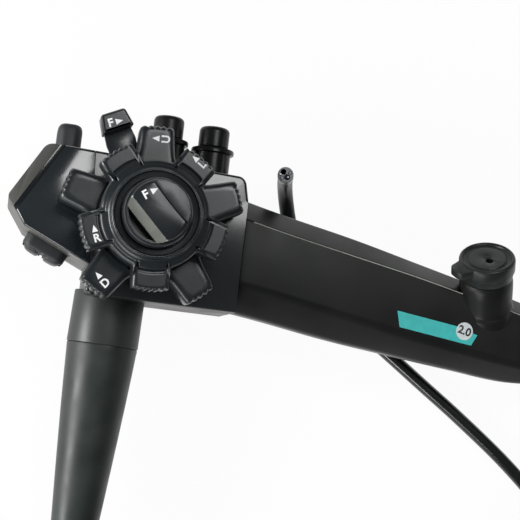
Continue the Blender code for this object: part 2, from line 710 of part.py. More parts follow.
def build_frame(looks):
    """Frame plate inside the head, with the centre post and the shafts' sleeve."""
    turn = head_frame()
    inset = HEAD_WALL + 2 * MM
    plate = add("frame_plate", slab([(SEAM_BOTTOM + inset, -14 * MM), (HEAD_RIGHT - inset, -14 * MM),
                                     (HEAD_RIGHT - inset, 14 * MM), (SEAM_BOTTOM + inset, 14 * MM)],
                                    FRAME_BOTTOM, FRAME_BOTTOM + FRAME_THICKNESS), turn)
    for x in (SEAM_BOTTOM + 2 * inset, HEAD_RIGHT - 2 * inset):
        foot = Matrix.Translation((x, 0, 0))
        boolean(plate, rod(3 * MM, HEAD_WALL + GAP, FRAME_BOTTOM + GAP), "UNION", turn @ foot)
    bore = POST_RADIUS + GAP
    boolean(plate, rod(bore, 0, 2 * FRAME_BOTTOM))
    finish(plate, looks["steel"])
    z = levels()
    top = z["well"] + BRAKE_THICKNESS / 2 + LOCK_HEIGHT / 2
    flange = 3 * MM
    foot = FRAME_BOTTOM - GAP
    profile = [(0, top), (POST_RADIUS, top), (POST_RADIUS, foot), (flange, foot),
               (flange, foot - 1.2 * MM), (0, foot - 1.2 * MM)]
    finish(add("centre_post", turned(profile, SMALL)), looks["steel"])
    inner, outer = shaft_radii()[3]
    low = HEAD_DEPTH - HEAD_WALL - 5 * MM
    rim = outer + SLEEVE_FLANGE
    under = HEAD_DEPTH - HEAD_WALL - GAP
    profile = [(inner, HEAD_DEPTH + GAP), (outer, HEAD_DEPTH + GAP), (outer, under), (rim, under),
               (rim, under - 1.5 * MM), (outer, under - 1.5 * MM), (outer, low), (inner, low)]
    finish(add("bearing_sleeve", turned(profile, ROUND, closed=True)), looks["brass"])


def build_valves(looks):
    """Two push valves: cylinder in the head, sprung piston with its cap."""
    for index, name in enumerate(("air_water", "suction")):
        place = valve_place(index)
        flange = VALVE_FLANGE_Y[index]
        under = flange - VALVE_FLANGE_THICKNESS
        foot = flange - VALVE_BODY_DEPTH
        rim = VALVE_FLANGE_RADIUS
        collar = VALVE_CAP_RADIUS - VALVE_CAP_WALL - SLIDE_GAP
        seat = flange + VALVE_COLLAR_RISE
        profile = [(VALVE_BORE, seat), (collar, seat), (collar, flange), (rim - 0.5 * MM, flange),
                   (rim, flange - 0.5 * MM), (rim, under), (VALVE_BODY_RADIUS, under),
                   (VALVE_BODY_RADIUS, foot), (VALVE_BORE, foot)]
        finish(add(name + "_cylinder", turned(profile, ROUND, closed=True), place), looks["gloss"])
        skirt = seat + GAP / 2
        top = flange + VALVE_CAP_TOP[index]
        cap_low = flange + VALVE_TRAVEL + GAP
        roof = top - VALVE_CAP_ROOF
        inner = collar + SLIDE_GAP
        stem = VALVE_BORE - SLIDE_GAP
        neck = stem - 1.1 * MM
        profile = [(0, top), (VALVE_CAP_RADIUS - 1.6 * MM, top), (VALVE_CAP_RADIUS - 0.4 * MM, top - 0.6 * MM),
                   (VALVE_CAP_RADIUS, top - 1.6 * MM), (VALVE_CAP_RADIUS, cap_low), (inner, cap_low),
                   (inner, roof), (neck, roof), (neck, flange - 2 * MM), (stem, flange - 2 * MM),
                   (stem, foot + VALVE_TRAVEL + 1.5 * MM), (neck, foot + VALVE_TRAVEL + 1 * MM),
                   (0, foot + VALVE_TRAVEL + 1 * MM)]
        finish(add(name + "_button", turned(profile, ROUND), place), looks["gloss"])
        build_spring(name + "_spring", place, skirt, roof - GAP / 2, (neck + stem) / 2, looks)


def build_spring(name, place, low, high, radius, looks):
    """Return spring coiled round a valve's stem, under its cap."""
    points = []
    steps = 8 * SPRING_TURNS
    low += SPRING_WIRE
    high -= SPRING_WIRE
    for step in range(steps + 1):
        turn = 2 * math.pi * SPRING_TURNS * step / steps
        height = low + (high - low) * step / steps
        points.append(Vector((radius * math.cos(turn), radius * math.sin(turn), height)))
    mesh = pipe(points, SPRING_WIRE, 0)
    finish(add(name, mesh, place), looks["steel"])


def pipe(points, radius, resolution=2):
    """Mesh of a round tube with filled caps along points."""
    curve = bpy.data.curves.new("route", "CURVE")
    curve.dimensions = "3D"
    curve.bevel_depth = radius
    curve.bevel_resolution = resolution
    curve.use_fill_caps = True
    spline = curve.splines.new("POLY")
    spline.points.add(len(points) - 1)
    for point, co in zip(spline.points, points):
        point.co = (*co, 1)
    obj = bpy.data.objects.new("route", curve)
    bpy.context.scene.collection.objects.link(obj)
    return baked(obj)


def build_switches(looks):
    """Rubber remote switches, each with a ledge that keeps it in the cover."""
    for name, place, width, depth, rise in switch_places():
        foot = -HEAD_WALL - SWITCH_LEDGE - SWITCH_TRAVEL
        obj = add(name, slab(switch_outline(width, depth), foot, rise), place)
        bevel(obj, 1.6 * MM, segments=2, angle=50)
        finish(obj, looks["rubber"])


def blend_values(values, share):
    """Value at a share of the grip's length, smooth between its stations."""
    count = len(GRIP_STATIONS)
    for i in range(count - 1):
        low, high = GRIP_STATIONS[i], GRIP_STATIONS[i + 1]
        if share <= high or i == count - 2:
            part = (share - low) / (high - low)
            return values[i] + (values[i + 1] - values[i]) * part


def grip_section(share, inset=0.0):
    """Outline of the grip across X, as points in Y and Z."""
    half = blend_values(GRIP_HALF_WIDTHS, share) * MM - inset
    fuller = half + GRIP_FULLER * (1 - share ** 3)
    crease = blend_values(GRIP_CREASES, share) * MM - inset / 2
    top = blend_values(GRIP_TOPS, share) * MM - inset
    bottom = blend_values(GRIP_BOTTOMS, share) * MM + inset
    middle = (top + bottom) / 2
    shoulder = middle + (top - middle) * 0.30
    belt = middle - (middle - bottom) * 0.25
    keel = half * 0.52
    corners = [(keel, bottom), (half, belt), (half, shoulder), (crease, top),
               (-crease, top), (-fuller, shoulder), (-fuller, belt), (-keel, bottom)]
    radii = [6.5, 5.0, 4.0, 1.8, 4.5, 5.0, 5.0, 6.5]
    return rounded(corners, [r * MM for r in radii], steps=2)


def grip_place(x):
    """Place whose X and Y are the part's Y and Z, at a distance along the grip."""
    return Matrix(((0, 0, 1, x), (1, 0, 0, 0), (0, 1, 0, 0), (0, 0, 0, 1)))


def grip_loft(start, end, inset, count):
    """Open or closed skin of the grip between two shares of its length."""
    work = bmesh.new()
    rings = []
    for i in range(count + 1):
        share = start + (end - start) * i / count
        x = GRIP_START + (GRIP_END - GRIP_START) * share
        rings.append([work.verts.new((x, y, z)) for y, z in grip_section(share, inset)])
    for first, second in zip(rings, rings[1:]):
        size = len(first)
        for k in range(size):
            work.faces.new((first[k], first[(k + 1) % size], second[(k + 1) % size], second[k]))
    return work, rings


def build_grip(looks):
    """Grip shell lofted along X and cut at the head's slanted end."""
    work, rings = grip_loft(0.0, 1.0, 0.0, 9)
    inner, inner_rings = grip_loft(0.0, 1.0, GRIP_WALL, 9)
    work.faces.new(list(reversed(rings[0])))
    work.faces.new(rings[-1])
    bmesh.ops.recalc_face_normals(work, faces=work.faces)
    outer_mesh = bpy.data.meshes.new("grip_outer")
    work.to_mesh(outer_mesh)
    work.free()
    inner.faces.new(list(reversed(inner_rings[0])))
    inner.faces.new(inner_rings[-1])
    bmesh.ops.scale(inner, vec=(1.02, 1, 1), verts=inner_rings[-1])
    bmesh.ops.recalc_face_normals(inner, faces=inner.faces)
    inner_mesh = bpy.data.meshes.new("grip_inner")
    inner.to_mesh(inner_mesh)
    inner.free()
    grip = add("grip_shell", outer_mesh)
    reach = 80 * MM
    head = box((-reach, -reach, -reach), (HEAD_RIGHT + GAP, reach, reach))
    boolean(grip, inner_mesh)
    boolean(grip, head, place=head_frame())
    direction = bearing(INLET_BEARING, INLET_ELEVATION)
    port = rod(INLET_PORT_RADIUS, -4 * MM, INLET_LENGTH, SMALL)
    boolean(grip, port, place=aim(INLET_FOOT, direction))
    finish(grip, looks["grip"])
    return direction


def build_inlet(looks, direction):
    """Branch housing on the grip, metal port and rubber seal with its slit."""
    place = aim(INLET_FOOT, direction)
    work, rings = grip_loft(0.55, 0.98, -GAP, 6)
    work.faces.new(list(reversed(rings[0])))
    work.faces.new(rings[-1])
    bmesh.ops.recalc_face_normals(work, faces=work.faces)
    grip_form = bpy.data.meshes.new("grip_form")
    work.to_mesh(grip_form)
    work.free()
    foot = INLET_RADIUS * 1.28
    flare = 7 * MM
    profile = [(INLET_PORT_RADIUS - 2 * MM, INLET_LENGTH), (INLET_RADIUS - 0.8 * MM, INLET_LENGTH),
               (INLET_RADIUS, INLET_LENGTH - 0.8 * MM), (INLET_RADIUS + 0.3 * MM, flare + 1 * MM),
               (INLET_RADIUS * 1.1, flare * 0.55), (foot, 0), (foot, -8 * MM), (INLET_PORT_RADIUS - 2 * MM, -8 * MM)]
    housing = add("inlet_housing", turned(profile, ROUND, closed=True), place)
    boolean(housing, grip_form)
    finish(housing, looks["housing"])
    wall = 1.4 * MM
    port_low = INLET_LENGTH + GAP
    inner = INLET_PORT_RADIUS - 2 * MM - wall
    outer = INLET_PORT_RADIUS - 2 * MM - GAP
    top = port_low + INLET_PORT_LENGTH
    profile = [(inner, top), (outer + 1 * MM, top), (outer + 1 * MM, top - 1.4 * MM), (outer, top - 2 * MM),
               (outer, port_low + 1 * MM), (INLET_PORT_RADIUS, port_low + 1 * MM), (INLET_PORT_RADIUS, port_low),
               (outer, port_low), (outer, port_low - 9 * MM), (inner, port_low - 9 * MM)]
    finish(add("inlet_port", turned(profile, SMALL, closed=True), place), looks["steel"])
    low = INLET_LENGTH + GAP
    high = low + SEAL_LENGTH
    bore = INLET_PORT_RADIUS + GAP
    lip = SEAL_RADIUS - 2.2 * MM
    profile = [(0, high - 0.9 * MM), (lip - 0.8 * MM, high - 0.9 * MM), (lip, high), (SEAL_RADIUS - 1 * MM, high),
               (SEAL_RADIUS, high - 1 * MM), (SEAL_RADIUS, low + 2.8 * MM), (SEAL_RADIUS - 0.7 * MM, low + 2.3 * MM),
               (SEAL_RADIUS - 0.7 * MM, low), (bore, low), (bore, top + GAP), (0, top + GAP)]
    seal = add("inlet_seal", turned(profile, ROUND), place)
    slot = rod(SEAL_SLIT, 0, high + SEAL_LENGTH)
    boolean(seal, slot, place=place @ Matrix.Translation((0, SEAL_OFFSET, 0)))
    tab = slab(rounded([(-4 * MM, 0), (4 * MM, 0), (3 * MM, 5.5 * MM), (-3 * MM, 5.5 * MM)],
                       [0, 0, 2 * MM, 2 * MM]), high - 2.6 * MM, high - 0.8 * MM)
    turn = Matrix.Rotation(math.radians(125), 4, "Z") @ Matrix.Translation((0, SEAL_RADIUS - 1 * MM, 0))
    boolean(seal, tab, "UNION", place @ turn)
    finish(seal, looks["rubber"])


def insertion_axis(along):
    """Point on the grip's own axis at a distance along X."""
    return Vector((along, 0, GRIP_AXIS_HEIGHT))


def build_insertion_root(looks):
    """Ring that closes the grip and the tapered boot of the insertion tube."""
    face = GRIP_END + GAP
    place = aim(insertion_axis(face), (1, 0, 0))
    spigot = 6.5 * MM
    profile = [(3 * MM, RING_LENGTH), (BOOT_ROOT - 0.6 * MM, RING_LENGTH), (BOOT_ROOT + 0.4 * MM, RING_LENGTH - 1 * MM),
               (RING_RADIUS, 1.2 * MM), (RING_RADIUS, 0), (8 * MM, 0), (8 * MM, -spigot), (3 * MM, -spigot)]
    finish(add("grip_end_ring", turned(profile, ROUND, closed=True), place), looks["steel"])
    place = aim(insertion_axis(face + RING_LENGTH + GAP), (1, 0, 0))
    boot = tapered_boot(BOOT_LENGTH, BOOT_ROOT, BOOT_TIP, 0.5, ROUND)
    finish(add("insertion_boot", boot, place), looks["rubber"])


def tapered_boot(length, root, tip, bow, steps):
    """Solid strain relief whose taper eases from root to tip."""
    profile = [(0, length), (tip - 0.5 * MM, length), (tip, length - 0.6 * MM)]
    rows = 5
    for i in range(rows - 1, 0, -1):
        share = i / rows
        radius = root + (tip - root) * (share ** (1 + bow) * 0.6 + share * 0.4)
        profile.append((radius, length * share * 0.99))
    profile += [(root, 0.8 * MM), (root - 0.6 * MM, 0), (0, 0)]
    return turned(profile, steps)


def umbilical_direction():
    """Direction in which the umbilical leaves the head."""
    return Vector((math.cos(UMBILICAL_HEADING), math.sin(UMBILICAL_HEADING), 0))


def umbilical_place(along):
    """Place on the umbilical's axis, Z pointing away from the head."""
    return aim(UMBILICAL_ROOT + umbilical_direction() * along, umbilical_direction())


def build_umbilical_root(looks):
    """Collar that seats against the head, and the long tapered boot."""
    place = umbilical_place(0.0)
    profile = [(3 * MM, COLLAR_LENGTH), (COLLAR_TIP - 0.4 * MM, COLLAR_LENGTH), (COLLAR_TIP, COLLAR_LENGTH - 0.5 * MM),
               (COLLAR_ROOT, 0), (SPIGOT_RADIUS, 0), (SPIGOT_RADIUS, -SPIGOT_LENGTH), (3 * MM, -SPIGOT_LENGTH)]
    collar = add("umbilical_collar", turned(profile, LARGE, closed=True), place)
    left = NECK_X - GAP
    land = box((left, HEAD_BOTTOM - GAP, -GAP), (HEAD_RIGHT, 0, HEAD_DEPTH + GAP))
    keep = washer(SPIGOT_RADIUS + BACKED, 3 * COLLAR_ROOT, -2 * COLLAR_ROOT, 2 * COLLAR_ROOT, LARGE)
    tool = add("land", land, head_frame(), cutter=True)
    made = tool.modifiers.new("ring", "BOOLEAN")
    made.operation = "INTERSECT"
    made.object = add("land_ring", keep, place, cutter=True)
    cut = collar.modifiers.new("seat", "BOOLEAN")
    cut.object = tool
    finish(collar, looks["housing"])
    place = umbilical_place(COLLAR_LENGTH + GAP)
    boot = tapered_boot(TAPER_LENGTH, TAPER_ROOT, TAPER_TIP, 0.25, LARGE)
    finish(add("umbilical_boot", boot, place), looks["boot"])


def smooth_route(anchors, spacing):
    """Points on a smooth curve through the anchors, about a spacing apart."""
    points = []
    count = len(anchors)
    for i in range(count - 1):
        before = anchors[i - 1] if i else anchors[0] * 2 - anchors[1]
        after = anchors[i + 2] if i + 2 < count else anchors[-1] * 2 - anchors[-2]
        a, b = anchors[i], anchors[i + 1]
        steps = max(1, round((b - a).length / spacing))
        for step in range(steps):
            t = step / steps
            t2, t3 = t * t, t * t * t
            points.append(0.5 * (2 * a + (b - before) * t + (2 * before - 5 * a + 4 * b - after) * t2
                                 + (3 * a - before - 3 * b + after) * t3))
    points.append(anchors[-1])
    return points


def coil_ring(centre, radius, cord, width, layers, steps):
    """Turned ring with the outer shape of a wound coil."""
    half = cord * width
    top = 2 * cord * layers
    corner = cord * 0.8
    profile = [(radius - half, top - corner), (radius - half + corner, top), (radius + half - corner, top),
               (radius + half, top - corner), (radius + half, corner), (radius + half - corner, 0),
               (radius - half + corner, 0), (radius - half, corner)]
    return turned(profile, steps, closed=True), Matrix.Translation(centre)


def coil_side(centre, radius, cord, width, degrees, height, spare=0.0):
    """Point where a cord lies against the outside of its coil."""
    reach = radius + cord * width + cord + GAP + spare
    turn = math.radians(degrees)
    return Vector((centre.x + reach * math.cos(turn), centre.y + reach * math.sin(turn), height))


def build_insertion_tube(looks):
    """Insertion tube: from the boot to its coil, the coil, and on to the bending section."""
    floor = TUBE_RADIUS + TUBE_REST
    start = insertion_axis(GRIP_END + RING_LENGTH + BOOT_LENGTH + 3 * GAP)
    coil = (TUBE_COIL_CENTRE, TUBE_COIL_RADIUS, TUBE_RADIUS, TUBE_COIL_WIDTH)
    near = [start, start + Vector((7, 0, 0)) * MM, Vector((242.5, -1.5, 18.0)) * MM,
            Vector((256.5, -8.0, 9.0)) * MM, coil_side(*coil, 22, floor + 1.0 * MM, 0.4 * MM),
            coil_side(*coil, 8, floor)]
    finish(add("insertion_tube_near", pipe(smooth_route(near, 7 * MM), TUBE_RADIUS)), looks["tube"])
    mesh, place = coil_ring(*coil, TUBE_COIL_LAYERS, LARGE)
    finish(add("insertion_coil", mesh, place), looks["tube"])
    ahead = Vector((math.cos(BEND_HEADING), math.sin(BEND_HEADING), 0))
    end = BEND_FOOT - ahead * (BASE_LENGTH + GAP)
    far = [coil_side(*coil, 238, floor), Vector((198.5, -64.4, 0)) * MM, Vector((185, -54.6, 0)) * MM,
           Vector((167, -43.8, 0)) * MM, Vector((145, -32.8, 0)) * MM, Vector((127.8, -24.9, 0)) * MM,
           Vector((111.1, -17.2, 0)) * MM, Vector((94, -9.4, 0)) * MM, Vector((77, -0.6, 0)) * MM,
           Vector((66.5, 6.8, 0)) * MM, end - ahead * 6 * MM, end]
    for point in far:
        point.z = floor
    finish(add("insertion_tube_far", pipe(smooth_route(far, 8 * MM), TUBE_RADIUS)), looks["tube"])


def build_umbilical(looks):
    """Umbilical cable, its coil, the tail and the light guide connector."""
    floor = CABLE_RADIUS + TUBE_REST
    out = umbilical_direction()
    start = UMBILICAL_ROOT + out * (COLLAR_LENGTH + TAPER_LENGTH + 3 * GAP)
    coil = (CABLE_COIL_CENTRE, CABLE_COIL_RADIUS, CABLE_RADIUS, CABLE_COIL_WIDTH)
    near = [start, start + out * 12 * MM,
            start + out * 34 * MM + Vector((-5.0, 0, -7.0)) * MM,
            coil_side(*coil, 172, floor + 2 * MM, 3 * MM), coil_side(*coil, 184, floor)]
    finish(add("umbilical_cable", pipe(smooth_route(near, 14 * MM), CABLE_RADIUS)), looks["cable"])
    mesh, place = coil_ring(*coil, CABLE_COIL_LAYERS, LARGE)
    finish(add("umbilical_coil", mesh, place), looks["cable"])
    plug = Vector((PLUG_AXIS_X, PLUG_START_Y, PLUG_RADIUS + TUBE_REST))
    tail = [coil_side(*coil, -20, floor), coil_side(*coil, -10, floor + 1 * MM, 1.2 * MM),
            plug + Vector((0.4, -20, -6.0)) * MM, plug - Vector((0, 9, 0)) * MM, plug - Vector((0, GAP, 0))]
    finish(add("umbilical_tail", pipe(smooth_route(tail, 12 * MM), CABLE_RADIUS)), looks["cable"])
    build_connector(looks, plug)


def build_connector(looks, plug):
    """Light guide connector with its prong, air pipe, socket and nipples."""
    along = Vector((0, 1, 0))
    boot = tapered_boot(PLUG_BOOT_LENGTH, CABLE_RADIUS + 1.6 * MM, PLUG_NECK - 1 * MM, -0.3, ROUND)
    finish(add("connector_boot", boot, aim(plug, along)), looks["rubber"])
    foot = plug + along * (PLUG_BOOT_LENGTH + GAP)
    length = PLUG_LENGTH
    profile = [(0, length), (PLUG_FACE - 1 * MM, length), (PLUG_FACE, length - 1 * MM), (PLUG_FACE, length - 12 * MM),
               (PLUG_RADIUS - 1 * MM, length - 13.5 * MM), (PLUG_RADIUS, length - 15 * MM), (PLUG_RADIUS, 16 * MM),
               (PLUG_RADIUS - 3 * MM, 8 * MM), (PLUG_NECK + 1 * MM, 2 * MM), (PLUG_NECK, 0), (0, 0)]
    body = add("connector_body", turned(profile, LARGE), aim(foot, along))
    face = foot + along * length
    for radius, spot in ((GUIDE_RADIUS, Vector((0, 0, 3 * MM))), (AIR_PIPE_RADIUS, air_pipe_spot())):
        boolean(body, rod(radius + GAP, -5 * MM, 2 * MM), place=aim(face + spot, along))
    side = aim(foot + along * 26 * MM, (1, 0, 0))
    boolean(body, rod(SOCKET_RADIUS + GAP, PLUG_RADIUS - 3 * MM, PLUG_RADIUS + 5 * MM, ROUND), place=side)
    finish(body, looks["housing"])
    prong = rod(GUIDE_RADIUS, -4.5 * MM, GUIDE_LENGTH, SMALL, 0.8 * MM)
    finish(add("light_guide_prong", prong, aim(face + Vector((0, 0, 3 * MM)), along)), looks["steel"])
    pipe_mesh = washer(AIR_PIPE_RADIUS - 0.6 * MM, AIR_PIPE_RADIUS, -4.5 * MM, AIR_PIPE_LENGTH, SMALL)
    finish(add("air_pipe", pipe_mesh, aim(face + air_pipe_spot(), along)), looks["steel"])
    low = PLUG_RADIUS - 3 * MM + GAP
    profile = [(0, low + 3 * MM), (SOCKET_RADIUS - 1.6 * MM, low + 3 * MM),
               (SOCKET_RADIUS - 1.2 * MM, low + SOCKET_LENGTH), (SOCKET_RADIUS, low + SOCKET_LENGTH),
               (SOCKET_RADIUS, low), (0, low)]
    finish(add("video_socket", turned(profile, ROUND), side), looks["steel"])
    up = aim(foot + along * 24 * MM, (0, 0, 1))
    low = PLUG_RADIUS + GAP
    n = NIPPLE_RADIUS
    profile = [(n - 1.6 * MM, low + NIPPLE_LENGTH), (n - 0.9 * MM, low + NIPPLE_LENGTH), (n, low + NIPPLE_LENGTH - 2 * MM),
               (n - 0.9 * MM, low + NIPPLE_LENGTH - 2.2 * MM), (n - 0.9 * MM, low + 2 * MM), (n + 1.6 * MM, low + 2 * MM),
               (n + 1.6 * MM, low), (n - 1.6 * MM, low)]
    finish(add("suction_nipple", turned(profile, SMALL, closed=True), up), looks["steel"])


def air_pipe_spot():
    """Offset of the air pipe from the connector's axis."""
    return Vector((0, 0, 3 * MM - AIR_PIPE_OFFSET))


def rim_height(azimuth, hinge, positive, negative, tongue):
    """Height of a link's rim over its hinge plane, away from the link's own body."""
    offset = (azimuth - hinge + math.pi / 2) % math.pi - math.pi / 2
    arc = abs(offset) * LINK_RADIUS
    lateral = math.sin(azimuth - hinge)
    limit = positive if lateral < 0 else negative
    clear = LINK_GAP + LINK_RADIUS * abs(lateral) * math.tan(limit / 2)
    radius = TONGUE_RADIUS + (0.0 if tongue else TONGUE_GAP)
    if arc > radius + TINY:
        return -clear
    bulge = math.sqrt(max(radius * radius - arc * arc, 0.0))
    return bulge if tongue else -max(bulge, clear)


def link_azimuths():
    """Angles round a link, closer together at its tongues and sockets."""
    tongue = TONGUE_RADIUS / LINK_RADIUS
    socket = (TONGUE_RADIUS + TONGUE_GAP) / LINK_RADIUS
    nib = 0.012
    near = [0.0, 0.7 * tongue, tongue, socket, socket + nib]
    quarter = near + [math.pi / 4] + [math.pi / 2 - a for a in reversed(near[1:])]
    return [q * math.pi / 2 + a for q in range(4) for a in quarter]


def link_limits(index):
    """Hinge azimuth and tilt limits of one hinge, from the base outwards."""
    count = LINKS // 2
    if index % 2 == 0:
        return 0.0, UP_LIMIT / count, DOWN_LIMIT / count
    return math.pi / 2, SIDE_LIMIT / count, SIDE_LIMIT / count


def link_mesh(lower, upper, length, plain_foot=0.0):
    """Thin ring with sockets at its foot and tongues at its top, from their hinges."""
    work = bmesh.new()
    rings = []
    for radius in (LINK_RADIUS, LINK_RADIUS - LINK_WALL):
        for top in (False, True):
            ring = []
            for azimuth in link_azimuths():
                if top:
                    z = length + rim_height(azimuth, *upper, True) if upper else length
                else:
                    z = -rim_height(azimuth, *lower, False) if lower else plain_foot
                ring.append(work.verts.new((radius * math.cos(azimuth), radius * math.sin(azimuth), z)))
            rings.append(ring)
    outer_foot, outer_top, inner_foot, inner_top = rings
    size = len(outer_foot)
    walls = ((outer_foot, outer_top), (inner_top, inner_foot), (outer_top, inner_top),
             (inner_foot, outer_foot))
    for a, b in walls:
        for k in range(size):
            n = (k + 1) % size
            work.faces.new((a[k], a[n], b[n], b[k]))
    bmesh.ops.recalc_face_normals(work, faces=work.faces)
    mesh = bpy.data.meshes.new("link")
    work.to_mesh(mesh)
    work.free()
    return mesh


def bend_base():
    """Place of the bending section's first hinge: Z along it, Y up but for its roll."""
    out = Vector((math.cos(BEND_HEADING), math.sin(BEND_HEADING), 0))
    up = Vector((0, 0, 1))
    turn = Matrix((up.cross(out), up, out)).transposed().to_4x4()
    return Matrix.Translation(BEND_FOOT) @ turn @ Matrix.Rotation(BEND_ROLL, 4, "Z")


def build_bending_section(looks):
    """Chain of links, each an object on its own hinge, and the tip on the last."""
    place = bend_base()
    base = link_mesh(None, link_limits(0), 0.0, -BASE_LENGTH)
    finish(add("bending_base", base, place), looks["steel"])
    hinges = LINKS // 2
    for index in range(LINKS):
        if index % 2 == 0:
            place = place @ Matrix.Rotation(-REST_DOWN / hinges, 4, "X")
        else:
            place = place @ Matrix.Rotation(REST_SIDE / hinges, 4, "Y")
        last = index == LINKS - 1
        upper = None if last else link_limits(index + 1)
        mesh = link_mesh(link_limits(index), upper, LINK_PITCH)
        finish(add("bending_link_%d" % (index + 1), mesh, place), looks["steel"])
        place = place @ Matrix.Translation((0, 0, LINK_PITCH))
    build_tip(looks, place)


def tip_spots():
    """Places on the tip's face: name, x, y and radius of each hole."""
    return {"channel": (0.10 * MM, -1.35 * MM, CHANNEL_RADIUS),
            "objective": (0.0, 1.15 * MM, OBJECTIVE_RADIUS),
            "light_left": (-1.85 * MM, 0.35 * MM, LIGHT_RADIUS),
            "light_right": (1.85 * MM, 0.35 * MM, LIGHT_RADIUS),
            "nozzle": (1.75 * MM, -1.15 * MM, NOZZLE_RADIUS)}


def build_tip(looks, place):
    """Distal head with its channel, lens, light guides and nozzle."""
    low = GAP
    high = TIP_LENGTH
    inner = LINK_RADIUS - LINK_WALL - GAP
    profile = [(0, high), (TIP_RADIUS - 0.6 * MM, high), (TIP_RADIUS - 0.15 * MM, high - 0.25 * MM),
               (TIP_RADIUS, high - 0.7 * MM), (TIP_RADIUS, low + 0.6 * MM), (LINK_RADIUS, low),
               (inner, low), (inner, -1.0 * MM), (0, -1.0 * MM)]
    tip = add("distal_head", turned(profile, ROUND), place)
    spots = tip_spots()
    for name, (x, y, radius) in spots.items():
        depth = -2 * TIP_LENGTH if name == "channel" else high - TIP_HOLE_DEPTH
        clear = 0.0 if name == "channel" else BACKED
        hole = rod(radius + clear, depth, high + TIP_HOLE_DEPTH)
        boolean(tip, hole, place=place @ Matrix.Translation((x, y, 0)))
    finish(tip, looks["tip"])
    fill = high - TIP_HOLE_DEPTH + BACKED
    for name, node, look in (("objective", "objective_lens", "lens"), ("light_left", "light_lens_left", "lens"),
                             ("light_right", "light_lens_right", "lens"), ("nozzle", "air_water_nozzle", "steel")):
        x, y, radius = spots[name]
        dome = radius * 0.18
        profile = [(0, high + dome), (radius * 0.6, high + dome * 0.6), (radius, high - 0.1 * MM), (radius, fill), (0, fill)]
        if name == "nozzle":
            profile = [(0, high + 0.55 * MM), (radius * 0.7, high + 0.5 * MM), (radius, high + 0.3 * MM),
                       (radius, fill), (0, fill)]
        finish(add(node, turned(profile, SMALL), place @ Matrix.Translation((x, y, 0))), looks[look])


def make_looks():
    """Every finish of the part."""
    return {
        "housing": material("satin_black_housing", (0.030, 0.033, 0.036), 0.36),
        "cover": material("satin_grey_cover", (0.060, 0.066, 0.070), 0.42),
        "grip": material("satin_black_grip", (0.022, 0.024, 0.026), 0.33),
        "knob": material("charcoal_knob", (0.035, 0.040, 0.044), 0.40),
        "rubber": material("soft_black_rubber", (0.028, 0.030, 0.031), 0.62),
        "boot": material("grey_green_boot_rubber", (0.050, 0.058, 0.056), 0.55),
        "cable": material("black_umbilical_jacket", (0.030, 0.032, 0.033), 0.45),
        "tube": material("black_insertion_jacket", (0.016, 0.017, 0.018), 0.25),
        "gloss": material("gloss_black_valve", (0.020, 0.017, 0.015), 0.14),
        "steel": material("satin_steel", (0.60, 0.61, 0.62), 0.28, 1.0),
        "brass": material("bearing_brass", (0.70, 0.56, 0.30), 0.35, 1.0),
        "brake": material("brake_lining", (0.25, 0.22, 0.19), 0.80),
        "tip": material("grey_tip_resin", (0.16, 0.17, 0.18), 0.35),
        "lens": material("optical_glass", (0.05, 0.06, 0.09), 0.05),
    }


def build():
    """Build the whole endoscope."""
    clear_scene()
    looks = make_looks()
    build_head(looks)
    build_frame(looks)
    build_ud_stack(looks)
    build_rl_stack(looks)
    build_valves(looks)
    build_switches(looks)
    direction = build_grip(looks)
    build_inlet(looks, direction)
    build_insertion_root(looks)
    build_umbilical_root(looks)
    build_insertion_tube(looks)
    build_umbilical(looks)
    build_bending_section(looks)


build()
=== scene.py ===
"""Looks of a slim flexible endoscope that lies on the flat back of its control head."""
import math
from collections import namedtuple

import bmesh
import bpy
from mathutils import Matrix, Vector


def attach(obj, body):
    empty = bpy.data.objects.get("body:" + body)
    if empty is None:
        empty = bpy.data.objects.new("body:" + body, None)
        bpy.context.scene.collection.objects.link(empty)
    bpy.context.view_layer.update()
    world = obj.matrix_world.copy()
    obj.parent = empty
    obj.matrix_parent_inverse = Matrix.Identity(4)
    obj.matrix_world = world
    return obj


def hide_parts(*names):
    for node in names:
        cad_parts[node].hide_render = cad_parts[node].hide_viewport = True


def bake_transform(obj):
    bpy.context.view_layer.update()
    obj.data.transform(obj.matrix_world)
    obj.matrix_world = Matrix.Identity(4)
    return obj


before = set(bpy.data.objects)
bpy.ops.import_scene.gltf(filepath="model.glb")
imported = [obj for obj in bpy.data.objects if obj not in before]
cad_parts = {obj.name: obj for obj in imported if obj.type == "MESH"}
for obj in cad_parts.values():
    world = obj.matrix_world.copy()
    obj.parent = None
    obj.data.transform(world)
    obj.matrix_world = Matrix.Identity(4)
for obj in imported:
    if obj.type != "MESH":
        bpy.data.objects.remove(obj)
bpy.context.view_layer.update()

MM = 0.001
UP = Vector((0, 0, 1))
HEAD_TURN = Matrix.Rotation(math.radians(10), 4, "Z")
HEAD_HEIGHT = 42.0
BOOT_FOOT = Vector((-4.1, -27.8, 20.5))
BOOT_OUT = Vector((0.14263, -0.98978, 0))
FILM_WIDTH = 36
FRAME_PIXELS = 520
FOCAL_PIXELS = 1457
TABLE_GLOW = 0.95


def only(piece):
    """Select one piece alone."""
    bpy.ops.object.select_all(action="DESELECT")
    piece.select_set(True)
    bpy.context.view_layer.objects.active = piece


def aim(origin, direction):
    """Place at a point in millimetres whose Z runs along a direction."""
    out = Vector(direction).normalized()
    across = UP.cross(out)
    across = across.normalized() if across.length > 1e-6 else Vector((1, 0, 0))
    turn = Matrix((across, out.cross(across), out)).transposed().to_4x4()
    return Matrix.Translation(Vector(origin) * MM) @ turn


# Camera and light


